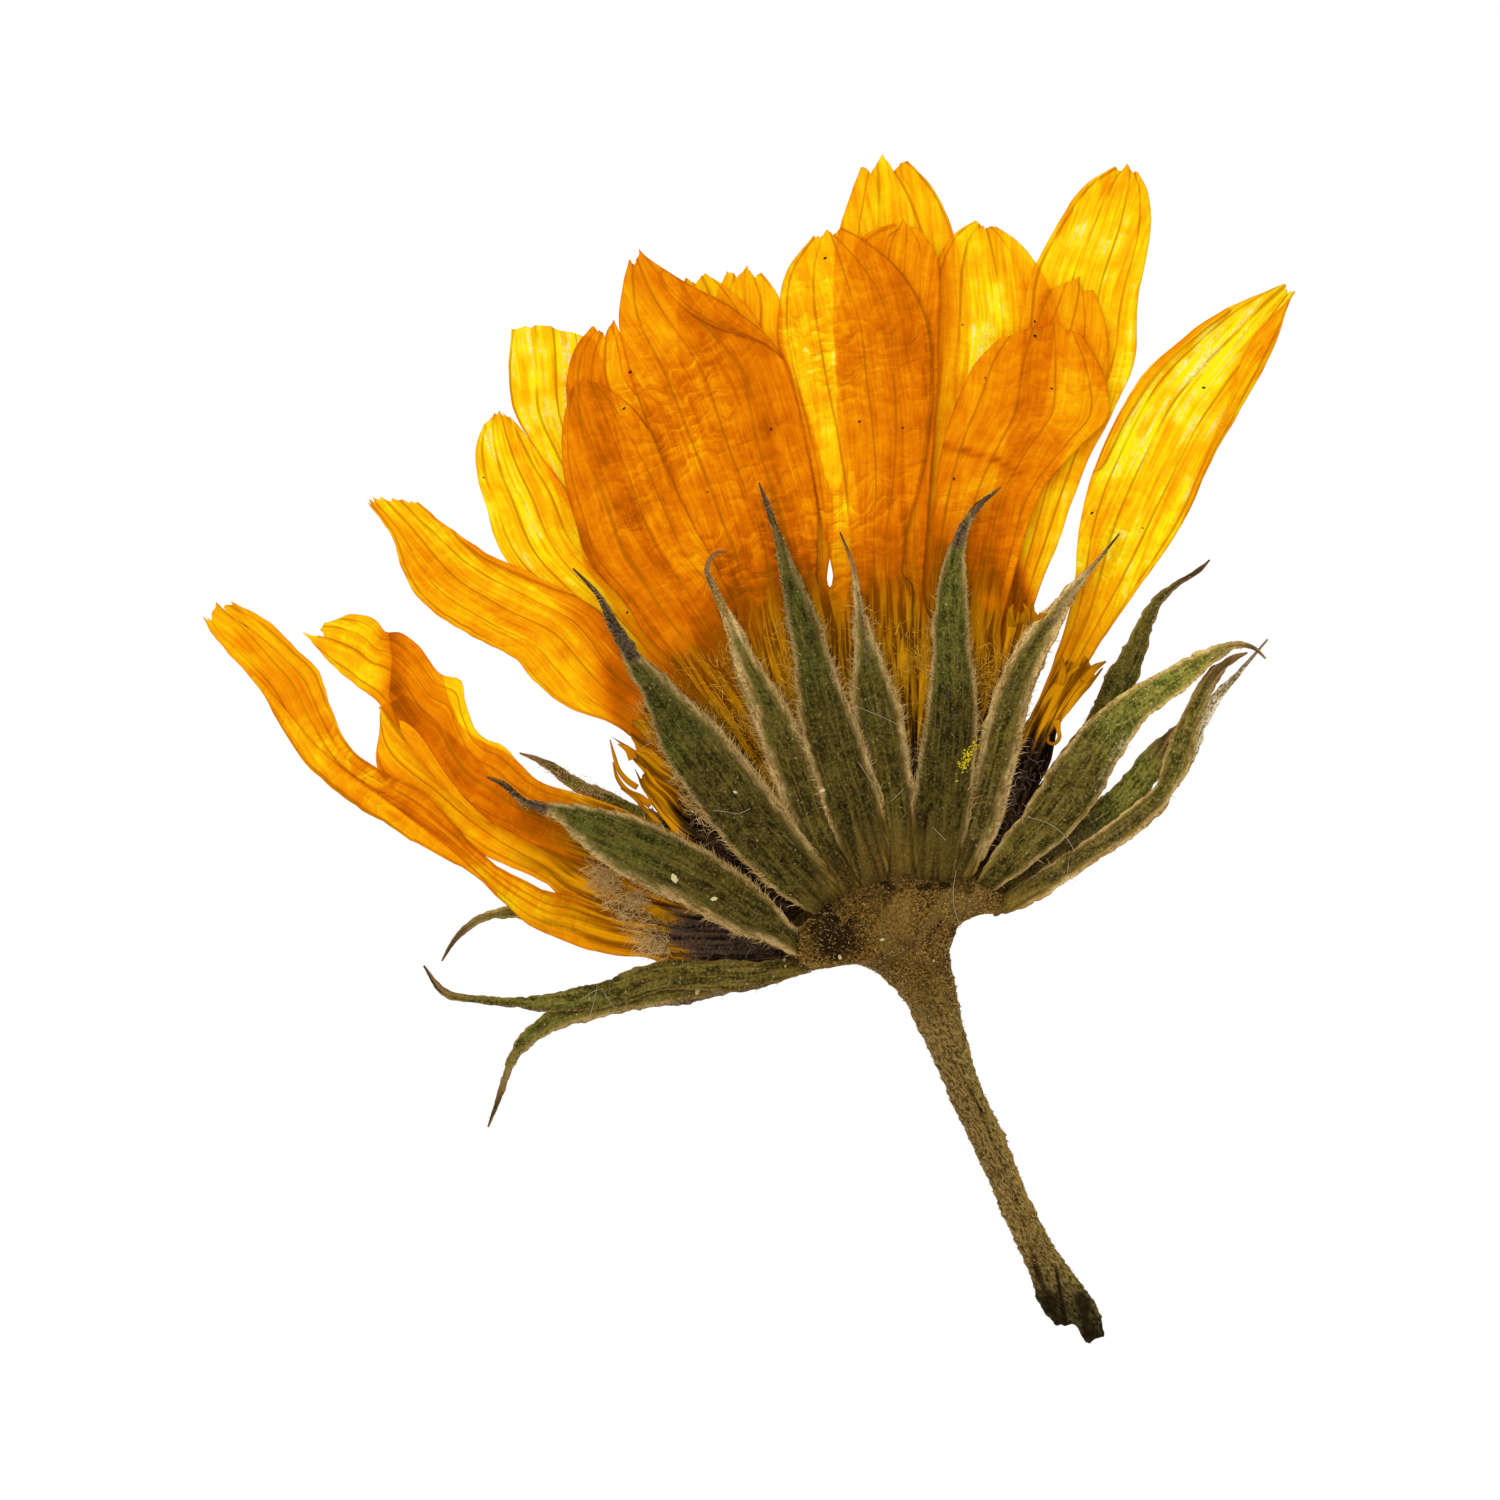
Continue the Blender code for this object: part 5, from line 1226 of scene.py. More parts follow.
def build_petals(petals, florets, bracts):
    """All petals and small florets, with the covers that deepen their colour as painted light
    through layers.
    """
    for kind, group, tissue in ((PETAL, petals, PETAL_TISSUE), (FLORET, florets, FLORET_TISSUE)):
        finish = petal_finish(tissue)
        for sheet in group:
            skin = Skin()
            skin.grid(*sheet_grids(sheet.plan, sheet.top, kind.skin, sheet.rim),
                      *petal_values(sheet, petals + florets, bracts))
            for fold in FOLDS:
                if fold.petal == sheet.number:
                    add_fold(skin, fold, sheet, petals + florets)
            if kind is PETAL:
                add_ovary(skin, sheet)
            for owner, lobe in LOBES:
                if owner + FIRST_FLORET == sheet.number:
                    add_lobe(skin, lobe, sheet)
            add_piece(sheet.name, skin.mesh(sheet.name, finish), kind.slot, sheet.node)


def add_fold(skin, fold, sheet, sheets):
    """Adds a folded edge to a petal's skin; it counts the petal itself as a layer below."""
    rows = np.flatnonzero((sheet.shares >= fold.first) & (sheet.shares <= fold.last))
    edge = -1 if fold.side else 0
    outer = sheet.plan[rows, edge]
    travel = travel_of(outer)
    inner = spread(smooth_curve(fold.inner), travel / travel[-1])
    width = np.sin(np.linspace(0.0, 1.0, len(rows)) * math.pi) ** 0.35
    inner = outer + (inner - outer) * width[:, None]
    part = np.linspace(0.0, 1.0, FOLD_COLUMNS + 1)
    plan = between(outer, inner, part)
    top = (sheet.top[rows, edge][:, None] + FOLD_RISE * smooth(0.0, 0.25, part)
           + swell(plan[..., 0], plan[..., 1]) - swell(outer[:, :1], outer[:, 1:]))
    if fold.side:
        plan, top, part = plan[:, ::-1], top[:, ::-1], part[::-1]
    width = np.linalg.norm(plan[:, -1] - plan[:, 0], axis=1)[:, None]
    below = covers_of(plan, [other.loop for other in sheets if other.layer < sheet.layer]
                      + [sheet.loop])
    look = sheet.look
    values = tissue_values(
        below, across=0.9 - 0.25 * part if fold.side else 0.1 + 0.25 * part,
        along=sheet.along[rows][:, None], span=sheet.span[rows][:, None],
        seed=own_seed(sheet.number, 0.3), rim=(1.0 - part)[None, :] * width,
        tone=look.tone * 0.75, show=0.7, streaks=look.streaks, wrinkled=0.5 * look.wrinkles,
        radius=np.hypot(plan[..., 0], plan[..., 1]))
    rim = np.minimum(part, 1.0 - part)[None, :] * width
    skin.grid(*sheet_grids(plan, top, FOLD_SKIN, rim), values)


def add_ovary(skin, sheet):
    """Adds the hairy ovary and tube that a petal grows from, under its narrow base."""
    middle = sheet.plan.mean(axis=1)
    radius = np.hypot(middle[:, 0], middle[:, 1])
    rows = np.flatnonzero((sheet.shares < OVARY_SHARE) & (radius < OVARY_END))
    middle, radius, height = middle[rows], radius[rows], sheet.top.mean(axis=1)[rows]
    half = 0.12 + 0.36 * smooth(1.5, 4.0, radius) * (1.0 - 0.55 * smooth(6.6, 8.4, radius))
    angle = np.linspace(0.0, 2.0 * math.pi, OVARY_TURNS, endpoint=False)
    lumps = 1.0 + 0.10 * uneven(np.arange(len(rows))[:, None] * 0.6, angle * 2.0, 0.8,
                                sheet.number)
    out = np.cos(angle)[None, :] * half[:, None] * lumps
    up = np.sin(angle)[None, :] * half[:, None] * 0.34 * lumps
    points = np.dstack((middle[:, None] + sideways(middle)[:, None] * out[..., None],
                        height[:, None] - OVARY_DROP + up))
    index = np.arange(out.size).reshape(out.shape)
    following = np.roll(index, -1, axis=1)
    quads = np.stack((index[:-1], index[1:], following[1:], following[:-1]), axis=-1)
    faces = quads.reshape(-1, 4).tolist() + [index[0].tolist(), index[-1, ::-1].tolist()]
    skin.add(points, faces, over_grid(tissue_values(
        cover_values([0.5] * len(COVER_WEIGHTS)), across=angle / (2.0 * math.pi),
        along=sheet.along[rows][:, None], span=half[:, None] * 3.0, seed=own_seed(sheet.number),
        rim=0.5, tone=1.5, radius=radius[:, None] - 1.2), index))


def add_lobe(skin, line, sheet):
    """Adds a thin curled lobe to a small floret."""
    shares = np.linspace(0.0, 1.0, LOBE_ROWS)
    middle = spread(smooth_curve(line), shares)
    part = np.linspace(-1.0, 1.0, LOBE_COLUMNS)
    flat, half, shares = middle[:, :2], middle[:, 2:3], shares[:, None]
    plan = flat[:, None] + sideways(flat)[:, None] * (half * part)[..., None]
    top = (height_at(sheet, flat[0]) + 0.02 + 0.10 * (1.0 - part ** 2)[None, :] * shares
           + 0.15 * np.sin(shares * 2.4))
    low = top - 0.05 + 0.03 * (part ** 2)[None, :]
    skin.grid(np.dstack((plan, top)), np.dstack((plan, low)), tissue_values(
        cover_values([-COVER_LIMIT] * len(COVER_WEIGHTS)), across=0.5 + 0.15 * part,
        along=travel_of(flat)[:, None] + sheet.along[-1], span=2.0 * half,
        seed=own_seed(sheet.number - FIRST_FLORET, 0.4), rim=0.2, tone=0.9 + 0.9 * shares,
        streaks=1.5, radius=9.2))


# ---------------------------------------------------------------- bracts

def brown_grain(f, place):
    """Colour and height of the brown grainy skin that stalk, receptacle and bract feet share."""
    grain = f.noise(place, 0.085, 2.0, Roughness=0.7)
    patch = f.noise(place, 0.55, 3.0)
    cells = f.add("ShaderNodeTexVoronoi", {"Vector": place, "Scale": 6.5})
    colour = f.coats(
        f.mix(grain.rise(0.38, 0.62), (0.028, 0.013, 0.002), (0.27, 0.145, 0.026)),
        (patch.rise(0.42, 0.66) * 0.5, (0.115, 0.058, 0.010)),
        (cells.fall(0.12, 0.30) * grain.rise(0.48, 0.62) * 0.8, (0.50, 0.31, 0.085)),
        (cells.rise(0.56, 0.85) * 0.35, (0.016, 0.008, 0.002)))
    return colour, grain * 0.9 + patch * 0.6 - cells * 0.5


def bract_finish():
    """Dried green bract: grainy olive, ribbed lengthwise, with hairy tan margins and brown tip."""
    f = Finish("Dried olive bract")
    across, along, span, seed, margin, share, pale, green, light, foot, rim, papery = f.read(
        "across", "along", "span", "seed", "margin", "share", "pale", "green", "light",
        "foot", "rim", "papery")
    middle = (across - 0.5) * span
    own = seed * 50.0
    place = f.place()
    rib = f.noise(f.vector(middle, along * 0.06, own), 0.10, 3.0)
    wide_rib = f.noise(f.vector(middle, along * 0.07, own + 9.0), 0.30, 2.0)
    cloud = f.noise(place, 1.1, 3.0)
    patch = f.noise(place, 0.5, 3.0)
    blotch = f.noise(f.vector(middle, along * 0.40, own + 2.0), 0.20, 2.0)
    grain = f.noise(place, 0.10, 3.0)
    fleck = f.noise(place, 0.06, 1.0)
    cells = f.add("ShaderNodeTexVoronoi", {"Vector": place, "Scale": 4.6})
    olive = f.mix(blotch.rise(0.36, 0.64), (0.028, 0.020, 0.003), (0.094, 0.062, 0.009))
    fresh = f.mix(blotch.rise(0.36, 0.64), (0.030, 0.033, 0.004), (0.098, 0.100, 0.014))
    greener = (share.rise(0.30, 0.60) * 0.85 + 0.08) * green + (cloud - 0.5) * 1.0
    brown, bumps = brown_grain(f, place)
    ribbed = f.mix(wide_rib.rise(0.40, 0.60), (0.018, 0.012, 0.003), (0.19, 0.115, 0.019))
    brown = f.mix(foot.fall(0.55, 0.95) * 0.3 + 0.55, brown, ribbed)
    low = (foot + (cloud - 0.5) * 0.5) * foot.rise(0.0, 0.2)
    ragged = margin + (rib - 0.5) * 1.6 + (grain - 0.5) * 1.2 + (blotch - 0.5) * 1.6
    strands = (rib * 0.6 + grain * 0.4).rise(0.38, 0.58)
    skin = f.mix(strands, (0.26, 0.135, 0.026), (0.78, 0.53, 0.21))
    skin = f.mix(foot.rise(0.1, 0.6), skin,
                 f.mix(rib.rise(0.4, 0.6), (0.08, 0.044, 0.007), (0.30, 0.19, 0.035)))
    paper_and_glint_colour = f.mix((rib + grain).rise(0.85, 1.15), (0.22, 0.165, 0.070), (0.68, 0.61, 0.42))
    bruise = f.mix(grain.rise(0.40, 0.60), (0.016, 0.009, 0.008), (0.10, 0.062, 0.046))
    tip = (share + (cloud - 0.5) * 0.25).rise(0.80, 0.96)
    dry = f.mix(rib.rise(0.35, 0.65), (0.018, 0.009, 0.005), (0.16, 0.075, 0.028))
    colour = f.coats(
        f.mix(greener.rise(0.1, 0.8), olive, fresh),
        (patch.fall(0.36, 0.50) * 0.35, (0.016, 0.013, 0.002)),
        (patch.rise(0.52, 0.66) * 0.3, (0.15, 0.120, 0.022)),
        (wide_rib.rise(0.5, 0.7) * 0.45, (0.17, 0.125, 0.020)),
        (rib.rise(0.50, 0.66) * 0.50, (0.20, 0.145, 0.028)),
        (rib.fall(0.30, 0.47) * (0.45 + foot * 0.45), (0.013, 0.009, 0.002)),
        (wide_rib.fall(0.34, 0.50) * foot.rise(0.0, 0.4) * 0.7, (0.014, 0.011, 0.002)),
        (grain.rise(0.50, 0.66) * 0.45, (0.18, 0.140, 0.034)),
        (grain.fall(0.36, 0.50) * 0.40, (0.010, 0.008, 0.001)),
        (cells.fall(0.11, 0.24) * fleck.rise(0.48, 0.64) * 0.65, (0.40, 0.35, 0.17)),
        # Towards the receptacle the bract turns into its brown grain, with golden ribs
        (low.rise(0.10, 0.95) * 0.66, brown),
        # Tan margin with a hairy inner edge
        (ragged.fall(0.10, 1.30) * pale, skin),
        (rim.fall(0.010, 0.050) * grain.rise(0.42, 0.56) * 0.55, (0.17, 0.070, 0.010)),
        # Papery places, a painted pale glint, purple brown places, and the brown tip
        ((papery + (grain - 0.5) * papery * 1.6).rise(0.15, 0.75) * 0.85, paper_and_glint_colour),
        ((papery * -1.0).rise(0.30, 0.85) * 0.85, bruise),
        (tip * 0.85, dry))
    colour = f.mix(1.0, colour, f.vector(light, light, light), "MULTIPLY")
    height = rib * 0.55 + wide_rib * 0.5 + grain * 0.8 + fleck * 0.3 + blotch * 0.6 + bumps * 0.3
    return f.finish(colour, 0.62 + grain * 0.25, height, 0.10, 0.02)


def bract_relief(sheet):
    """Height of a bract over its CAD sheet: arched middle, ribs, lifted tip."""
    seed = BRACT.surface + sheet.number
    arch = 1.0 - (2.0 * sheet.across - 1.0) ** 2
    width = smooth(0.1, 1.2, sheet.span)[:, None]
    ribs = 0.5 + 0.5 * np.cos((sheet.across - 0.5)[None, :] * 2.0 * math.pi * 4.0)
    crinkle = uneven(sheet.x, sheet.y, 0.35, seed)
    wavy = uneven(sheet.along[:, None], sheet.across[None, :] * 2.0, 1.3, seed + 40)
    lift = sheet.look.lift * smooth(0.72, 1.0, sheet.shares)[:, None]
    sunk = 0.12 * smooth(0.12, 0.0, sheet.shares)[:, None]
    rim = (1.0 - arch) ** 2
    return (0.16 * arch * width + 0.030 * ribs * width * arch + 0.022 * crinkle * width
            + 0.05 * wavy * rim * width + lift - sunk)


def build_bracts(bracts):
    """All bracts, with a pale margin, a brown foot and their marks."""
    finish = bract_finish()
    for sheet in bracts:
        look, top, span, shares = sheet.look, sheet.top, sheet.span[:, None], sheet.shares[:, None]
        papery = np.full(top.shape, look.papery)
        for owner, start, end, wide, pale in BRACT_MARKS:
            if owner == sheet.number:
                papery += pale * mark_strength(sheet.plan, start, end, wide)
        margin = np.minimum(sheet.across * span / look.left,
                            (1.0 - sheet.across) * span / look.right)
        values = {
            "across": sheet.across, "along": sheet.along[:, None], "share": shares, "span": span,
            "margin": np.clip(margin, 0.0, 3.0), "seed": own_seed(sheet.number),
            "pale": look.pale + (look.paler - look.pale) * smooth(0.45, 0.75, shares),
            "green": look.green,
            "light": look.light * (1.0 + look.gain * smooth(0.35, 0.80, shares)),
            "foot": smooth(look.foot, 1.6, sheet.radius), "rim": sheet.rim, "papery": papery,
        }
        thin = BRACT.skin
        body = smooth(0.2, 0.9, span) * smooth(0.95, 0.72, shares)
        low = np.minimum(sheet.under, top - thin) + thin * (1.0 - smooth(0, 0.3, sheet.rim))
        low = np.minimum(np.maximum(low, top - thin - 0.35 * body), top - 0.03)
        skin = Skin()
        skin.grid(np.dstack((sheet.plan, top)), np.dstack((sheet.plan, low)), values)
        add_piece(sheet.name, skin.mesh(sheet.name, finish), BRACT.slot, sheet.node)


# ---------------------------------------------------------------- stem

def stem_finish():
    """Dry stalk and receptacle: brown and grainy, ribbed, with dark furrows; pale edge marks are
    painted rim light.
    """
    f = Finish("Dry grainy stalk")
    across, along, share, shade = f.read("across", "along", "share", "shade")
    place = f.place()
    rib = f.noise(f.vector(across * 1.6, along * 0.09, 3.0), 0.10, 3.0)
    wide_rib = f.noise(f.vector(across * 1.6, along * 0.07, 8.0), 0.26, 2.0)
    cloud = f.noise(place, 0.8, 3.0)
    grain = f.noise(f.vector(across * 1.4, along * 0.55, 5.0), 0.10, 3.0)
    brown, bumps = brown_grain(f, place)
    head = share.fall(0.20, 0.42)
    olive = f.mix(grain.rise(0.38, 0.62), (0.052, 0.031, 0.007), (0.42, 0.28, 0.085))
    tail = (share + (cloud - 0.5) * 0.14).rise(0.82, 0.96)
    dark = (shade + (grain - 0.5) * shade * 2.2).rise(0.10, 0.95)
    colour = f.coats(
        f.mix(head * 0.45 + 0.55, olive, brown),
        ((1.0 - head) * grain.rise(0.46, 0.64) * 0.6, (0.34, 0.235, 0.080)),
        (cloud.fall(0.36, 0.48) * 0.35, (0.045, 0.024, 0.006)),
        (wide_rib.rise(0.5, 0.66) * 0.30, (0.27, 0.17, 0.045)),
        (rib.fall(0.28, 0.46) * 0.5, (0.026, 0.014, 0.004)),
        ((1.0 - head) * across.fall(0.05, 0.45) * 0.45,
         f.mix(grain.rise(0.40, 0.60), (0.085, 0.062, 0.010), (0.38, 0.29, 0.065))),
        (tail * 0.9,
         f.mix(grain.rise(0.42, 0.62), (0.009, 0.007, 0.003), (0.095, 0.080, 0.026))),
        (dark * 0.9, (0.012, 0.006, 0.002)),
        # Pale golden where the marks are pale: painted rim light along the edges
        ((shade * -1.0).rise(0.0, 1.0) * 0.7, (0.40, 0.22, 0.045)))
    height = bumps + grain * 0.5 + rib * 0.5 + wide_rib * 0.6
    return f.finish(colour, 0.66 + grain * 0.22, height, 0.08, 0.02)


class Stem:
    """Receptacle and stalk: plan, heights and outline."""

    def __init__(self):
        self.shares = stations(STEM_ROWS)
        self.across = np.linspace(0.0, 1.0, STEM_COLUMNS + 1)
        self.plan = self.outline()
        self.loop = border(self.plan)
        ridge = np.zeros(STEM_ROWS)
        for (low, before), (high, after) in zip(STALK_PROFILE, STALK_PROFILE[1:]):
            part = (self.shares >= low) & (self.shares <= high)
            ridge[part] = before + (after - before) * smooth(low, high, self.shares[part])
        arch = np.sqrt(np.clip(1.0 - (2.0 * self.across - 1.0) ** 2, 0.0, 1.0))
        side = SIDE_SHARE + 0.5 * smooth(0.26, 0.10, self.shares)[:, None]
        top = ridge[:, None] * (side + (1.0 - side) * arch[None, :])
        x, y = self.plan[..., 0], self.plan[..., 1]
        top = top - 0.05 * top * smooth(0.03, 0.0, self.shares)[:, None]
        body = smooth(0.0, 0.03, self.shares)[:, None]
        shade = sum(dark * mark_strength(self.plan, start, end, wide)
                    for start, end, wide, dark in STEM_MARKS)
        self.shade = shade * (0.90 + 0.45 * uneven(x, y, 0.22, 415))
        top = top + body * layered(x, y, (0.035, 0.30, 411), (0.022, 0.14, 412), (0.05, 1.1, 413))
        top = top - 0.05 * np.clip(self.shade, -0.8, 1.0) * body
        self.low = 0.004 * (1.0 + uneven(x, y, 0.4, 414))
        self.top = np.maximum(top, self.low + 0.05)

    def outline(self):
        """Plan of the receptacle and the stalk down to its ragged cut end."""
        shares, across = self.shares, self.across
        plan, side, travel = strip((STALK_RIM[0],) + STALK_LEFT + (STALK_END[0],),
                                   (STALK_RIM[-1],) + STALK_RIGHT + (STALK_END[-1],),
                                   shares, across)
        for outline, weight in ((STALK_RIM, 1.0 - smooth(0.0, RIM_SHARE, shares)),
                                (STALK_END, smooth(1.0 - TIP_SHARE, 1.0, shares))):
            ends, chord = end_lines(outline, across)
            plan = plan + weight[:, None, None] * (ends - chord)
        waves = []
        for sign, bumps in zip((-1.0, 1.0), STEM_BUMPS):
            wave = layered(travel, sign, (0.035, 0.5, 401), (0.045, 0.15, 402),
                           (0.030, 0.09, 404))
            for place, size in bumps:
                wave = wave + size * np.exp(-((travel - place) / 0.07) ** 2)
            waves.append(wave * smooth(0.05, 0.12, shares))
        plan = push_edges(plan, side, across, 3, waves)
        nicks = 0.07 * uneven(across * 8.0, 5.0, 0.5, 403)
        plan[..., 1] += smooth(0.975, 1.0, shares)[:, None] * nicks
        return plan

    def sink(self, sheet):
        """Lets the foot of a bract run into the receptacle, just under its skin."""
        depth = inside_depth(sheet.plan, self.loop)
        for row, column in zip(*np.nonzero(depth > -SINK_REACH)):
            near = depth[row, column]
            goal = height_at(self, sheet.plan[row, column]) - 0.04 - 0.45 * smooth(0.0, 0.35, near)
            sheet.top[row, column] -= (max(sheet.top[row, column] - goal, 0.0)
                                       * smooth(-SINK_REACH, 0.03, near))
        sheet.under = np.minimum(sheet.under, sheet.top - 0.05)


def build_stem(stem):
    """The receptacle and the stalk as one piece, with the bed of the florets."""
    shares = stem.shares
    width = np.linalg.norm(stem.plan[:, -1] - stem.plan[:, 0], axis=1)[:, None, None]
    middle = stem.plan.mean(axis=1, keepdims=True)
    ends = np.minimum(shares / 0.03, (1.0 - shares) / 0.02).clip(0.0, 1.0)
    narrow = 1.0 - np.minimum(0.42, 0.9 / width) * np.sqrt(ends)[:, None, None]
    foot = middle + (stem.plan - middle) * narrow
    skin = Skin()
    skin.rounded(np.dstack((stem.plan, stem.top)), np.dstack((foot, stem.low)), {
        "across": stem.across, "along": travel_of(stem.plan.mean(axis=1))[:, None],
        "share": shares[:, None], "shade": stem.shade})
    add_bed(skin)
    add_piece("stem", skin.mesh("stem", stem_finish()), "stalk", "stalk")


def add_bed(skin):
    """Adds the bed that the florets stand in, under the feet of the bracts; its dark colour is
    painted shade.
    """
    shares, part = np.linspace(0.0, 1.0, BED_ROWS), np.linspace(0.0, 1.0, BED_COLUMNS)
    plan = between(spread(smooth_curve(BED_EDGE), shares), spread(smooth_curve(BED_FOOT), shares),
                   part)
    x, y = plan[..., 0], plan[..., 1]
    layers = 8.8 * (1.0 - 0.78 * smooth(2.0, 4.4, np.abs(x))) - 1.5 * (1.0 - part[None, :]) ** 2
    top = 0.1 + LAYER_HEIGHT * layers + 0.10 * uneven(x, y, 0.35, 431)
    deep = smooth(0.0, 0.22, np.minimum(shares, 1.0 - shares))[:, None]
    low = top - 0.1 - (top - 0.35 - 0.1 * uneven(x, y, 0.6, 432)).clip(0.0) * deep
    middle = plan.mean(axis=1, keepdims=True)
    # Painted shade of the crevices between the bract feet, darkest towards the petals
    skin.rounded(np.dstack((plan, top)), np.dstack((middle + (plan - middle) * 0.5, low)), {
        "across": part * 4.0, "along": shares[:, None] * 9.0, "share": 0.0,
        "shade": 0.9 - 0.65 * part})


# ---------------------------------------------------------------- hairs

def hair_finish(tint):
    """Dry hair, paler towards its tip, and each one a little different."""
    f = Finish(f"Dry {tint} hair")
    reach, strand = f.read("reach", "strand")
    colour = f.mix(reach * 0.6 + strand * 0.6 - 0.1, *HAIR_TINTS[tint])
    return f.finish(colour, 0.55 + strand * 0.2, f.noise(f.place(), 0.03), 0.004, 0.2)


class Growth(Nodes):
    """A geometry tree with named inputs."""

    def __init__(self, name, result, **inputs):
        super().__init__(bpy.data.node_groups.new(name, "GeometryNodeTree"))
        for label, kind in inputs.items():
            self.tree.interface.new_socket(label, in_out="INPUT",
                                           socket_type="NodeSocket" + kind)
        self.tree.interface.new_socket(result, in_out="OUTPUT",
                                       socket_type="NodeSocketGeometry")

    def given(self, label):
        """One of the inputs."""
        return self.add("NodeGroupInput", None, label)

    def named(self, name, kind="FLOAT"):
        """A named attribute of the surface or the points."""
        return self.add("GeometryNodeInputNamedAttribute", {"Name": name}, data_type=kind)

    def chance(self, low, high, offset):
        """Random number or vector, different at each point."""
        kind, first, output = (("FLOAT_VECTOR", 0, 0) if isinstance(low, tuple)
                               else ("FLOAT", 2, 1))
        return self.add("FunctionNodeRandomValue",
                        {first: low, first + 1: high, "Seed": self.given("Seed") + offset},
                        output, data_type=kind)

    def vectors(self, operation, inputs):
        """The result of one node for vectors."""
        return self.add("ShaderNodeVectorMath", inputs, operation=operation)

    def store(self, geometry, domain, name, value):
        """The geometry with a number kept under a name."""
        return self.add("GeometryNodeStoreNamedAttribute",
                        {"Geometry": geometry, "Name": name, "Value": value},
                        data_type="FLOAT", domain=domain)

    def end(self, geometry):
        """Makes the geometry real, gives it the finish and hands it out."""
        geometry = self.add("GeometryNodeRealizeInstances", {"Geometry": geometry})
        geometry = self.add("GeometryNodeSetMaterial",
                            {"Geometry": geometry, "Material": self.given("Finish")})
        self.add("NodeGroupOutput", {0: geometry})
        return self.tree


def hair_tree():
    """Curved, tapered hairs on a surface: dense where 'hairy' is high, pointing along 'lie'."""
    n = Growth("Hairs on a surface", "Hairs", Surface="Geometry", Density="Float",
               Length="Float", Stoutness="Float", Curl="Float", Scatter="Float", Seed="Int",
               Finish="Material")
    points = n.add("GeometryNodeDistributePointsOnFaces",
                   {"Mesh": n.given("Surface"), "Density": n.given("Density") * n.named("hairy"),
                    "Seed": n.given("Seed")}, "Points")
    stray = n.chance((-1.0, -1.0, -0.05), (1.0, 1.0, 0.55), 1)
    stray = n.vectors("SCALE", {0: stray, "Scale": n.given("Scatter")})
    way = n.vectors("ADD", {0: n.named("lie", "FLOAT_VECTOR"), 1: stray})
    roll = n.add("ShaderNodeCombineXYZ", {2: n.chance(0.0, 2.0 * math.pi, 2)})
    turn = n.add("FunctionNodeAlignRotationToVector",
                 {"Rotation": n.add("FunctionNodeEulerToRotation", {"Euler": roll}),
                  "Vector": way}, axis="Z")
    hair = n.add("GeometryNodeMeshCone",
                 {"Vertices": 3, "Side Segments": 2, "Radius Top": 0.0,
                  "Radius Bottom": n.given("Stoutness"), "Depth": 1.0}, fill_type="NGON")
    height = n.add("ShaderNodeSeparateXYZ", {0: n.add("GeometryNodeInputPosition")}, "Z")
    hair = n.store(hair, "POINT", "reach", height)
    bend = n.add("ShaderNodeCombineXYZ", {0: height * height * n.given("Curl")})
    hair = n.add("GeometryNodeSetPosition", {"Geometry": hair, "Offset": bend})
    hairs = n.add("GeometryNodeInstanceOnPoints",
                  {"Points": points, "Instance": hair, "Rotation": turn,
                   "Scale": n.given("Length") * n.chance(0.45, 1.25, 3)})
    return n.end(n.store(hairs, "INSTANCE", "strand", n.chance(0.0, 1.0, 4)))


def grow(name, carrier, tree, slot, **inputs):
    """Runs a tree on a mesh and shows what it makes as a piece."""
    bare = bpy.data.objects.new(name + "_carrier", carrier)
    bpy.context.scene.collection.objects.link(bare)
    modifier = bare.modifiers.new("Growth", "NODES")
    modifier.node_group = tree
    for item in tree.interface.items_tree:
        if item.in_out == "INPUT" and item.name in inputs:
            modifier[item.identifier] = inputs[item.name]
    evaluated = bare.evaluated_get(bpy.context.evaluated_depsgraph_get())
    mesh = bpy.data.meshes.new_from_object(evaluated)
    bpy.data.objects.remove(bare)
    mesh.name = name
    for attribute in list(mesh.attributes):
        if attribute.name in ("hairy", "lie", "size"):
            mesh.attributes.remove(attribute)
    add_piece(name, mesh, slot)


def bare_grid(skin, points, hairy, way, rise):
    """Adds the upper side of a sheet to the surface that hairs grow on."""
    index, quads = grid_faces(points.shape)
    lie = np.dstack((way, np.broadcast_to(rise, index.shape)))
    skin.add(points, quads, {"hairy": np.broadcast_to(hairy, index.shape).ravel(),
                             "lie": lie.reshape(-1, 3)})


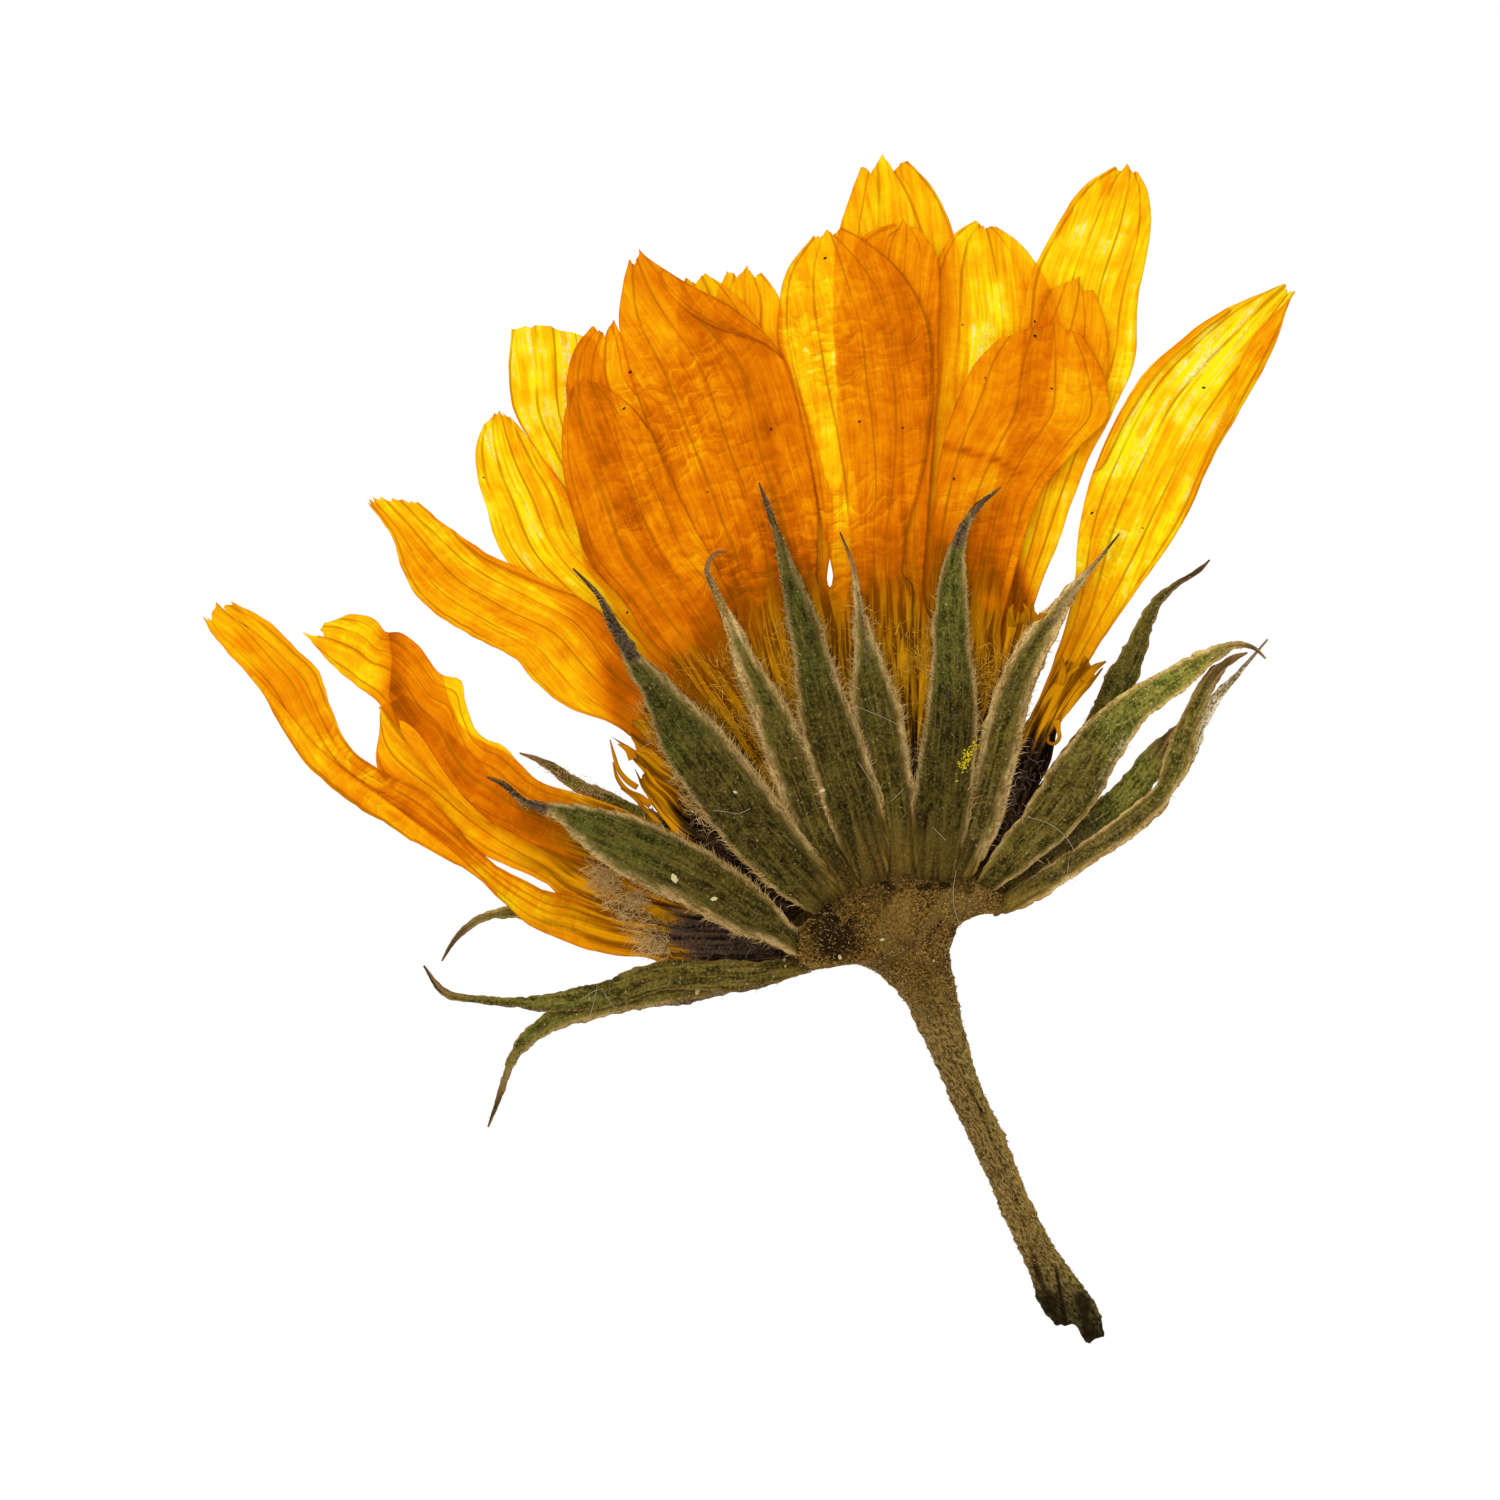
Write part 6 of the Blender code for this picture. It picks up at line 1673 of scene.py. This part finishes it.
def grow_hairs(sheets, bracts, stem):
    """All hairs: on the bracts' margins and faces, on the stem, and between the bracts."""
    tree = hair_tree()
    finishes = {tint: hair_finish(tint) for tint in HAIR_TINTS}

    def hairs(coat, skin):
        grow(coat.name, skin.mesh(coat.name + "_skin"), tree, coat.slot,
             Density=coat.density / MM ** 2, Length=coat.length * MM, Stoutness=coat.stoutness,
             Curl=coat.curl, Scatter=coat.scatter, Seed=coat.seed, Finish=finishes[coat.tint])

    margins, fringes, faces, bare = Skin(), Skin(), Skin(), Skin()
    for sheet in bracts:
        points, look = np.dstack((sheet.plan, sheet.top)), sheet.look
        heading = unit(np.gradient(sheet.plan, axis=0))
        side = unit(sheet.plan[:, -1] - sheet.plan[:, 0])
        outward = np.sign(sheet.across - 0.5)[None, :, None] * side[:, None]
        way = outward * 0.9 + heading * 0.7
        clear = smooth(3.0, 5.0, sheet.radius) * smooth(1.0, 0.9, sheet.shares)[:, None]
        inner = smooth(11.0, 8.0, sheet.radius) * look.pale * look.hairs ** 2
        bare_grid(fringes, points, np.exp(-(sheet.rim / 0.10) ** 2) * clear * look.hairs,
                  way, 0.05)
        bare_grid(margins, points, np.exp(-(sheet.rim / 0.14) ** 2) * clear * inner, way, 0.05)
        bare_grid(faces, points, clear, heading, 0.12)
    side = unit(stem.plan[:, :1] - stem.plan[:, -1:])
    slant = 1.0 - 2.0 * stem.across
    way = side * slant[None, :, None] * 1.2 - unit(np.gradient(stem.plan, axis=0)) * 0.2
    bare_grid(bare, np.dstack((stem.plan, stem.top)), smooth(0.92, 0.82, stem.shares)[:, None],
              way, 1.0 - np.abs(slant))
    for coat, skin in zip(HAIR_COATS, (margins, fringes, faces, bare)):
        hairs(coat, skin)
    for number, fuzz in enumerate(FUZZ, 1):
        hairs(HairCoat(fuzz.name, "petal", fuzz.tint, fuzz.density, fuzz.length,
                       FUZZ_RADIUS / fuzz.length, FUZZ_CURL, FUZZ_SCATTER, FUZZ_SEED + number),
              fuzz_surface(fuzz, number, sheets, bracts))


def fuzz_surface(fuzz, number, sheets, bracts):
    """Surface that carries the hairs of one place, on a layer of the pressed stack."""
    outline = np.array(fuzz.outline)
    low, high = outline.min(axis=0), outline.max(axis=0)
    x, y = np.meshgrid(*(np.arange(low[k], high[k], FUZZ_GRID) for k in (0, 1)))
    plan = np.dstack((x, y))
    dense = FUZZ_BORDER if fuzz.tint == "gold" else PLAIN_BORDER
    hairy = smooth(-0.1, dense, inside_depth(plan, outline))
    hairy = hairy * np.clip(0.55 + 0.9 * uneven(x, y, 0.5, FUZZ_PATTERN + number), 0.1, 1.4)
    if fuzz.tint == "gold":
        beside = np.max([inside_depth(plan, sheet.loop) for sheet in bracts], axis=0)
        hairy = hairy * (0.40 + 1.4 * np.exp(beside / FUZZ_REACH))
    z = FUZZ_HEIGHT + fuzz.layer * layer_height(x, y) + swell(x, y)
    under = height_under(sheets, plan.reshape(-1, 2), z.ravel(), -1.0).reshape(x.shape)
    z = np.where(z - under < FUZZ_DROP, np.minimum(z, under + FUZZ_GAP), z)
    level = np.abs(np.gradient(z)).max(axis=0) < FUZZ_STEP
    hairy = hairy * (z - under < FUZZ_DROP) * level
    skin = Skin()
    way = plan / np.hypot(x, y)[..., None] * fuzz.lean
    bare_grid(skin, np.dstack((x, y, z)), hairy, way, 0.0)
    return skin


# ---------------------------------------------------------------- specks and fibres

def grain_finish(name, first, second):
    """Small grains, each one a little different."""
    f = Finish(name)
    strand, place = f.read("strand"), f.place()
    colour = f.mix(strand * 0.8 + f.noise(place, 0.05) * 0.4 - 0.1, first, second)
    return f.finish(colour, 0.6 + strand * 0.2, f.noise(place, 0.03), 0.006, 0.1)


def grain_tree():
    """Small uneven grains at points, as big as 'size' says."""
    n = Growth("Grains at points", "Grains", Places="Geometry", Flatness="Float", Seed="Int",
               Finish="Material")
    size = n.named("size")
    lumps = n.add("ShaderNodeTexNoise", {"Scale": 1.3, "Detail": 1.0})
    push = n.vectors("SCALE", {0: n.add("GeometryNodeInputNormal"), "Scale": (lumps - 0.5) * 1.6})
    grain = n.add("GeometryNodeSetPosition",
                  {"Geometry": n.add("GeometryNodeMeshIcoSphere",
                                     {"Radius": 1.0, "Subdivisions": 2}), "Offset": push})
    turn = n.add("ShaderNodeCombineXYZ", {2: n.chance(0.0, 2.0 * math.pi, 0)})
    scale = n.add("ShaderNodeCombineXYZ", {0: size, 1: size * 0.6, 2: size * n.given("Flatness")})
    grains = n.add("GeometryNodeInstanceOnPoints",
                   {"Points": n.given("Places"), "Instance": grain, "Rotation": turn,
                    "Scale": scale})
    return n.end(n.store(grains, "INSTANCE", "strand", n.chance(0.0, 1.0, 1)))


def fibre_tree():
    """Thin round fibres along lines."""
    n = Growth("Fibres along lines", "Fibres", Lines="Geometry", Thickness="Float",
               Finish="Material")
    line = n.add("GeometryNodeMeshToCurve", {"Mesh": n.given("Lines")})
    around = n.add("GeometryNodeCurvePrimitiveCircle",
                   {"Resolution": 4, "Radius": n.given("Thickness") * 0.5})
    return n.end(n.add("GeometryNodeCurveToMesh",
                       {"Curve": line, "Profile Curve": around, "Fill Caps": True}))


def scatter_debris(pieces):
    """Dark specks on the petals, chaff and pollen on the bracts, and loose fibres."""
    def heights(places):
        places = np.array(places, dtype=float)[:, :2]
        return height_under(pieces, places, np.full(len(places), np.inf), DEBRIS_LOWEST)

    chance = np.random.default_rng(53)
    x, y, wide, high = POLLEN
    offsets = chance.normal(0.0, 0.5, (POLLEN_GRAINS, 2))
    pollen = [(x + wide * (u * 0.8 + v * 0.35), y + high * (u * 0.9 - v * 0.25), size)
              for (u, v), size in zip(offsets, chance.uniform(*POLLEN_SIZES, POLLEN_GRAINS))]
    tree = grain_tree()
    for name, slot, spots, flatness, seed, look in (
            ("dark_specks", "petal", SPECKS, 0.35, 51,
             ("Dark speck", (0.020, 0.006, 0.002), (0.10, 0.03, 0.008))),
            ("pale_chaff", "floret", CHAFF, 0.35, 52,
             ("Pale chaff", (0.36, 0.26, 0.08), (0.72, 0.62, 0.30))),
            ("pollen", "floret", pollen, 0.8, 54,
             ("Yellow pollen", (0.50, 0.36, 0.004), (0.80, 0.64, 0.01)))):
        x, y, size = np.array(spots).T
        points = np.stack((x, y, heights(spots) + 0.3 * size * flatness), axis=1)
        carrier = bpy.data.meshes.new(name + "_places")
        carrier.from_pydata((points * MM).tolist(), [], [])
        carrier.attributes.new("size", "FLOAT", "POINT").data.foreach_set("value", size * MM)
        grow(name, carrier, tree, slot, Flatness=flatness, Seed=seed, Finish=grain_finish(*look))

    points, edges = [], []
    for fibre in FIBRES:
        line = smooth_curve(fibre)[::3]
        for k, ((x, y), height) in enumerate(zip(line, heights(line))):
            if k:
                edges.append((len(points) - 1, len(points)))
                height = max(height, points[-1][2] - FIBRE_DROP)
            points.append((x, y, height))
    points = np.array(points) + (0.0, 0.0, FIBRE_HEIGHT)
    carrier = bpy.data.meshes.new("fibre_lines")
    carrier.from_pydata((points * MM).tolist(), edges, [])
    grow("loose_fibres", carrier, fibre_tree(), "petal", Thickness=FIBRE_THICKNESS * MM,
         Finish=grain_finish("Pale fibre", (0.42, 0.35, 0.20), (0.70, 0.62, 0.44)))


# ---------------------------------------------------------------- light, floor and camera

def build_view():
    """Camera straight above, white ground lit from below, and soft light from the upper left."""
    scene = bpy.context.scene
    scene.view_settings.view_transform = "Standard"
    camera = bpy.data.cameras.new("Camera")
    camera.lens, camera.sensor_width = LENS, SENSOR
    camera.clip_start, camera.clip_end = 0.01, 10.0
    eye = bpy.data.objects.new("Camera", camera)
    distance = PHOTO_SIDE * LENS / SENSOR
    eye.location = (PHOTO_CENTRE[0] * MM, PHOTO_CENTRE[1] * MM, (distance + FLOWER_LEVEL) * MM)
    scene.collection.objects.link(eye)
    scene.camera = eye

    ground = bpy.data.meshes.new("Ground")
    corners = ((-1.0, -1.0), (1.0, -1.0), (1.0, 1.0), (-1.0, 1.0))
    ground.from_pydata([(x * GROUND_SIDE, y * GROUND_SIDE, -GROUND_DEPTH) for x, y in corners],
                       [], [(0, 1, 2, 3)])
    glow = Finish("White ground")
    glow.end(glow.add("ShaderNodeEmission", {"Color": WHITE, "Strength": 1.0}))
    ground.materials.append(glow.material)
    floor = bpy.data.objects.new("Ground", ground)
    scene.collection.objects.link(floor)

    world = bpy.data.worlds.new("Room")
    world.use_nodes = True
    light = world.node_tree.nodes["Background"].inputs
    light["Color"].default_value, light["Strength"].default_value = WHITE, ROOM_LIGHT
    scene.world = world

    lamp = bpy.data.lights.new("Window", "AREA")
    lamp.shape, lamp.size, lamp.energy = "SQUARE", WINDOW_SIDE, WINDOW_POWER
    window = bpy.data.objects.new("Window", lamp)
    window.location = WINDOW_PLACE
    window.rotation_euler = (-window.location).to_track_quat("-Z", "Y").to_euler()
    scene.collection.objects.link(window)


def lay_blades(kind, blades, looks):
    """All petals or all small florets, with their own lengthwise pleats and raised edges."""
    sheets = []
    for number, (blade, look) in enumerate(zip(blades, looks), 1):
        sheet = Sheet(kind, number, blade, look, blade_plan(kind, number, blade, look.fray))
        seed = kind.surface + number
        pleats = uneven(sheet.across * 4.0 + seed, sheet.along[:, None] / 7.0, 0.45, seed)
        sheet.top += ((0.030 * pleats + kind.lift * np.exp(-sheet.rim / 0.25))
                      * smooth(0.2, 0.4, sheet.shares)[:, None])
        sheets.append(sheet)
    return sheets


def lay_bracts(stem):
    """All bracts, with their feet sunk into the receptacle."""
    sheets = []
    for number, (bract, look) in enumerate(zip(BRACTS, BRACT_LOOKS), 1):
        sheet = Sheet(BRACT, number, bract, look, bract_plan(number, bract))
        sheet.under = sheet.top - BRACT_BODY
        sheet.top = sheet.top + bract_relief(sheet)
        stem.sink(sheet)
        sheets.append(sheet)
    return sheets


def main():
    """Builds the view, then the flower from its petals to the debris on it."""
    build_view()
    stem = Stem()
    petals = lay_blades(PETAL, RAYS, PETAL_LOOKS)
    florets = lay_blades(FLORET, FLORETS, [FLORET_LOOK] * len(FLORETS))
    bracts = lay_bracts(stem)
    build_petals(petals, florets, bracts)
    build_bracts(bracts)
    build_stem(stem)
    grow_hairs(petals + florets + bracts, bracts, stem)
    scatter_debris(petals + florets + bracts + [stem])


main()
